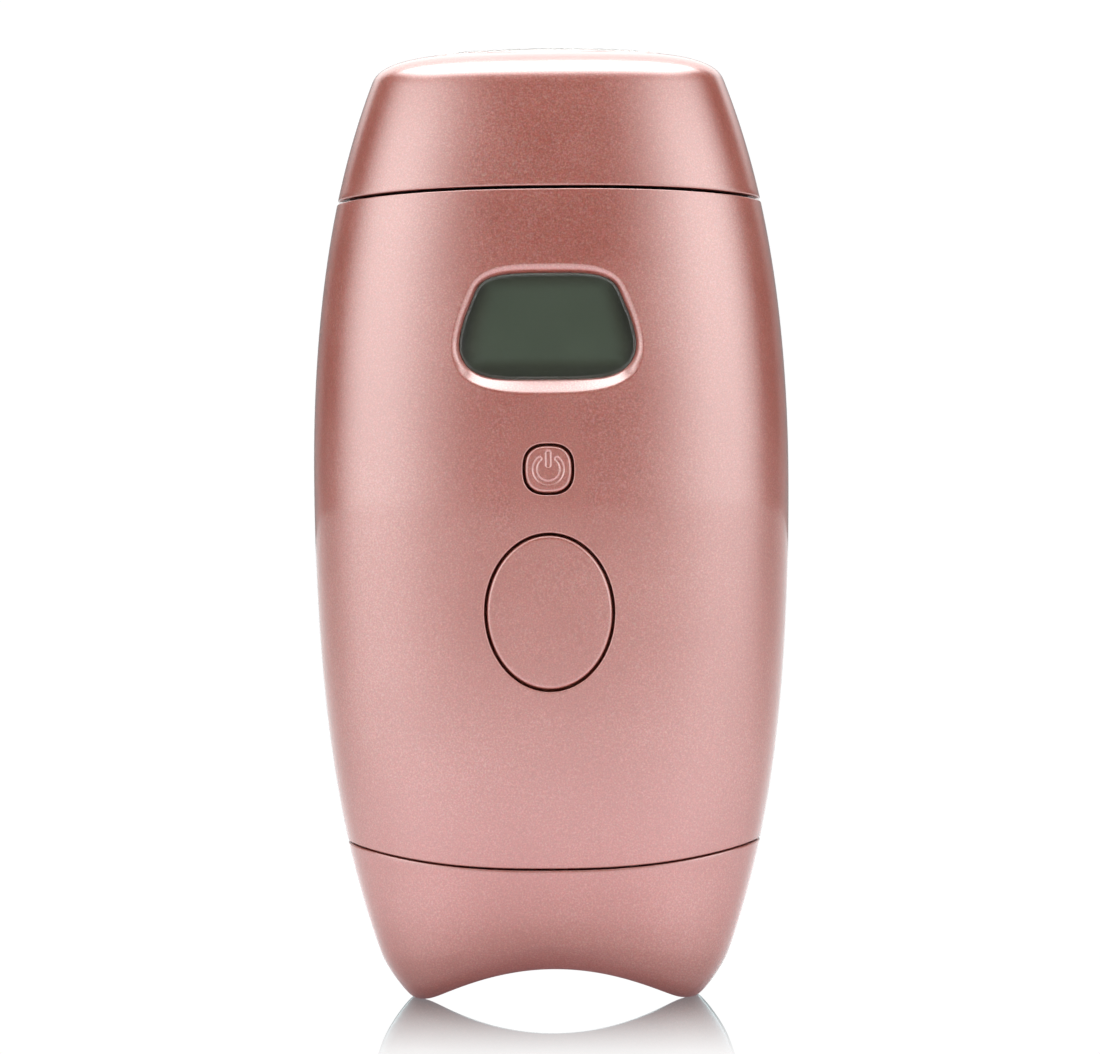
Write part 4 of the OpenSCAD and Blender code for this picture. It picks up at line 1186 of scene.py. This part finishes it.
def floor():
    mesh = bpy.data.meshes.new("floor")
    e = 9.0
    mesh.from_pydata([(-e, -e, 0), (e, -e, 0), (e, e, 0), (-e, e, 0)], [], [(0, 1, 2, 3)])
    obj = bpy.data.objects.new("floor", mesh)
    scene.collection.objects.link(obj)
    m, tree, b = new_material("floor_white")
    wave = noise_node(tree, 6.0, 2.0)
    link(tree, ramp_node(tree, wave, [(0.3, (0.34, 0.34, 0.34)), (0.7, (0.36, 0.36, 0.36))]), b.inputs["Base Color"])
    b.inputs["Roughness"].default_value = 0.5
    coord = tree.nodes.new("ShaderNodeTexCoord")
    far = tree.nodes.new("ShaderNodeVectorMath")
    far.operation = "LENGTH"
    link(tree, coord.outputs["Object"], far.inputs[0])
    r = far.outputs["Value"]
    sep = tree.nodes.new("ShaderNodeSeparateXYZ")
    link(tree, coord.outputs["Object"], sep.inputs[0])
    fx, fy = sep.outputs[0], sep.outputs[1]
    # light that the floor in front throws back up
    aside = math_node(tree, "ABSOLUTE", math_node(tree, "ARCTAN2", fx, math_node(tree, "MULTIPLY", fy, -1.0)))
    spread = math_node(tree, "DIVIDE", 1.26, math_node(tree, "ADD", 1.0, math_node(tree, "POWER", math_node(tree, "DIVIDE", r, 0.33), 2.2)))
    glow = math_node(tree, "MULTIPLY", spread, step_node(tree, r, 0.025, 0.11, 0.2, 1.0))
    glow = math_node(tree, "MULTIPLY", glow, math_node(tree, "MULTIPLY", step_node(tree, aside, 0.6, 1.3, 1.0, 0.66),
                                                       step_node(tree, aside, 1.4, 2.1, 1.0, 0.3)))
    pool = math_node(tree, "MULTIPLY", step_node(tree, aside, 0.4, 0.85, 0.0, 0.36), step_node(tree, aside, 1.15, 1.8, 1.0, 0.0))
    glow = math_node(tree, "ADD", glow, math_node(tree, "MULTIPLY", pool, step_node(tree, r, 0.22, 0.6)))
    link(tree, ramp_node(tree, step_node(tree, r, 0.03, 0.34), [(0.0, (1.0, 0.54, 0.60)), (0.22, (1.0, 0.78, 0.86)), (1.0, (1.0, 0.94, 1.0))]),
         b.inputs["Emission Color"])
    link(tree, glow, b.inputs["Emission Strength"])
    # as the camera sees it: plain white, polished close to the object
    near = math_node(tree, "SQRT", math_node(tree, "ADD", math_node(tree, "POWER", math_node(tree, "MULTIPLY", fx, 0.35), 2.0),
                                             math_node(tree, "POWER", fy, 2.0)))
    white = tree.nodes.new("ShaderNodeEmission")
    white.inputs["Strength"].default_value = 1.02
    polish = tree.nodes.new("ShaderNodeBsdfGlossy")
    polish.inputs["Roughness"].default_value = 0.0
    polish.inputs["Color"].default_value = (0.74, 0.96, 1.0, 1)
    shown = tree.nodes.new("ShaderNodeMixShader")
    slant = tree.nodes.new("ShaderNodeLayerWeight")
    slant.inputs["Blend"].default_value = 0.5
    link(tree, math_node(tree, "MULTIPLY", step_node(tree, near, 0.0, 0.12, 0.9, 0.0),
                         step_node(tree, slant.outputs["Facing"], 0.3, 0.84, 0.35, 1.0)), shown.inputs[0])
    link(tree, white.outputs[0], shown.inputs[1])
    link(tree, polish.outputs[0], shown.inputs[2])
    path = tree.nodes.new("ShaderNodeLightPath")
    pick = tree.nodes.new("ShaderNodeMixShader")
    link(tree, path.outputs["Is Camera Ray"], pick.inputs[0])
    link(tree, b.outputs["BSDF"], pick.inputs[1])
    link(tree, shown.outputs[0], pick.inputs[2])
    geo = tree.nodes.new("ShaderNodeNewGeometry")
    mix = tree.nodes.new("ShaderNodeMixShader")
    clear = tree.nodes.new("ShaderNodeBsdfTransparent")
    out = tree.nodes["Material Output"]
    link(tree, geo.outputs["Backfacing"], mix.inputs[0])
    link(tree, pick.outputs[0], mix.inputs[1])
    link(tree, clear.outputs["BSDF"], mix.inputs[2])
    link(tree, mix.outputs["Shader"], out.inputs["Surface"])
    mesh.materials.append(m)


floor()


def arch_blind():
    """White sheet close under the arch that only the floor's mirror sees: the mirror shows the front, not the underside."""
    xs = np.linspace(-22.9, 22.9, 69)
    ys = 12.0 * (1 - (np.abs(xs) / 24.8) ** 2.5) ** 0.4
    zs = np.maximum(arch(xs) - 0.12, 0.01)
    pts = [(x / 1000, sign * y / 1000, z / 1000) for x, y, z in zip(xs, ys, zs) for sign in (-1, 1)]
    mesh = bpy.data.meshes.new("arch_blind")
    mesh.from_pydata(pts, [], [(2 * k, 2 * k + 2, 2 * k + 3, 2 * k + 1) for k in range(68)])
    obj = bpy.data.objects.new("arch_blind", mesh)
    scene.collection.objects.link(obj)
    m, tree, b = new_material("mirror_white")
    white = tree.nodes.new("ShaderNodeEmission")
    white.inputs["Color"].default_value = (1 / 0.74, 1 / 0.96, 1.0, 1)
    white.inputs["Strength"].default_value = 1.02
    clear = tree.nodes.new("ShaderNodeBsdfTransparent")
    path = tree.nodes.new("ShaderNodeLightPath")
    mix = tree.nodes.new("ShaderNodeMixShader")
    link(tree, path.outputs["Is Singular Ray"], mix.inputs[0])
    link(tree, clear.outputs[0], mix.inputs[1])
    link(tree, white.outputs[0], mix.inputs[2])
    link(tree, mix.outputs[0], tree.nodes["Material Output"].inputs["Surface"])
    tree.nodes.remove(b)
    mesh.materials.append(m)


arch_blind()


def studio_light():
    """White behind, a soft box overhead, a soft box on either side in front, and a dim room in front."""
    world = bpy.data.worlds.new("studio")
    scene.world = world
    world.use_nodes = True
    tree = world.node_tree
    bg = tree.nodes["Background"]
    coord = tree.nodes.new("ShaderNodeTexCoord")
    sep = tree.nodes.new("ShaderNodeSeparateXYZ")
    link(tree, coord.outputs["Generated"], sep.inputs[0])
    x, y, z = sep.outputs
    around = math_node(tree, "ABSOLUTE", math_node(tree, "ARCTAN2", x, y))
    up = math_node(tree, "ARCSINE", z)
    deg = math.radians
    back = math_node(
        tree,
        "MULTIPLY",
        step_node(tree, around, deg(38), deg(60), 1.0, 0.0),
        step_node(tree, up, deg(8), deg(24), 0.24, 1.6),
    )
    sides = math_node(
        tree,
        "MULTIPLY",
        math_node(tree, "MULTIPLY", step_node(tree, around, deg(78), deg(120)), step_node(tree, around, deg(134), deg(172), 2.85, 0.0)),
        step_node(tree, up, deg(26), deg(58), 1.0, 0.0),
    )
    zc = math_node(tree, "MAXIMUM", z, 0.05)
    px = math_node(tree, "ABSOLUTE", math_node(tree, "DIVIDE", x, zc))
    py = math_node(tree, "DIVIDE", y, zc)
    above = math_node(
        tree,
        "MULTIPLY",
        step_node(tree, px, 0.42, 0.98, 6.7, 0.0),
        math_node(tree, "MULTIPLY", step_node(tree, py, -0.66, -0.11), step_node(tree, py, 0.45, 0.52, 1.0, 0.0)),
    )
    total = math_node(tree, "ADD", back, 0.05)
    total = math_node(tree, "ADD", total, sides)
    total = math_node(tree, "ADD", total, above)
    # the backdrop itself is plain white
    path = tree.nodes.new("ShaderNodeLightPath")
    seen = math_node(tree, "MAXIMUM", path.outputs["Is Camera Ray"], path.outputs["Is Singular Ray"])
    total = math_node(tree, "ADD", math_node(tree, "MULTIPLY", total, math_node(tree, "SUBTRACT", 1.0, seen)),
                      math_node(tree, "MULTIPLY", seen, 1.02))
    hue = tree.nodes.new("ShaderNodeMix")
    hue.data_type = "RGBA"
    hue.inputs["A"].default_value = (1.0, 1.0, 1.0, 1)
    hue.inputs["B"].default_value = (1 / 0.74, 1 / 0.96, 1.0, 1)
    link(tree, path.outputs["Is Singular Ray"], hue.inputs["Factor"])
    link(tree, hue.outputs["Result"], bg.inputs["Color"])
    link(tree, total, bg.inputs["Strength"])


studio_light()

cam_data = bpy.data.cameras.new("camera")
cam_data.sensor_width = 36.0
cam_data.lens = 146.95
cam_data.clip_end = 50.0
cam = bpy.data.objects.new("camera", cam_data)
scene.collection.objects.link(cam)
cam.location = (CAM_D * math.sin(CAM_AZ) + CAM_X, -CAM_D * math.cos(CAM_AZ), CAM_Z)
look = Vector((CAM_X, 0.0, CAM_Z)) - cam.location
cam.rotation_mode = "QUATERNION"
cam.rotation_quaternion = look.to_track_quat("-Z", "Y") @ Quaternion((0, 0, 1), CAM_ROLL)
scene.camera = cam
scene.view_settings.view_transform = "Standard"
scene.view_settings.look = "None"
scene.view_settings.exposure = 0.0
scene.view_settings.gamma = 1.0
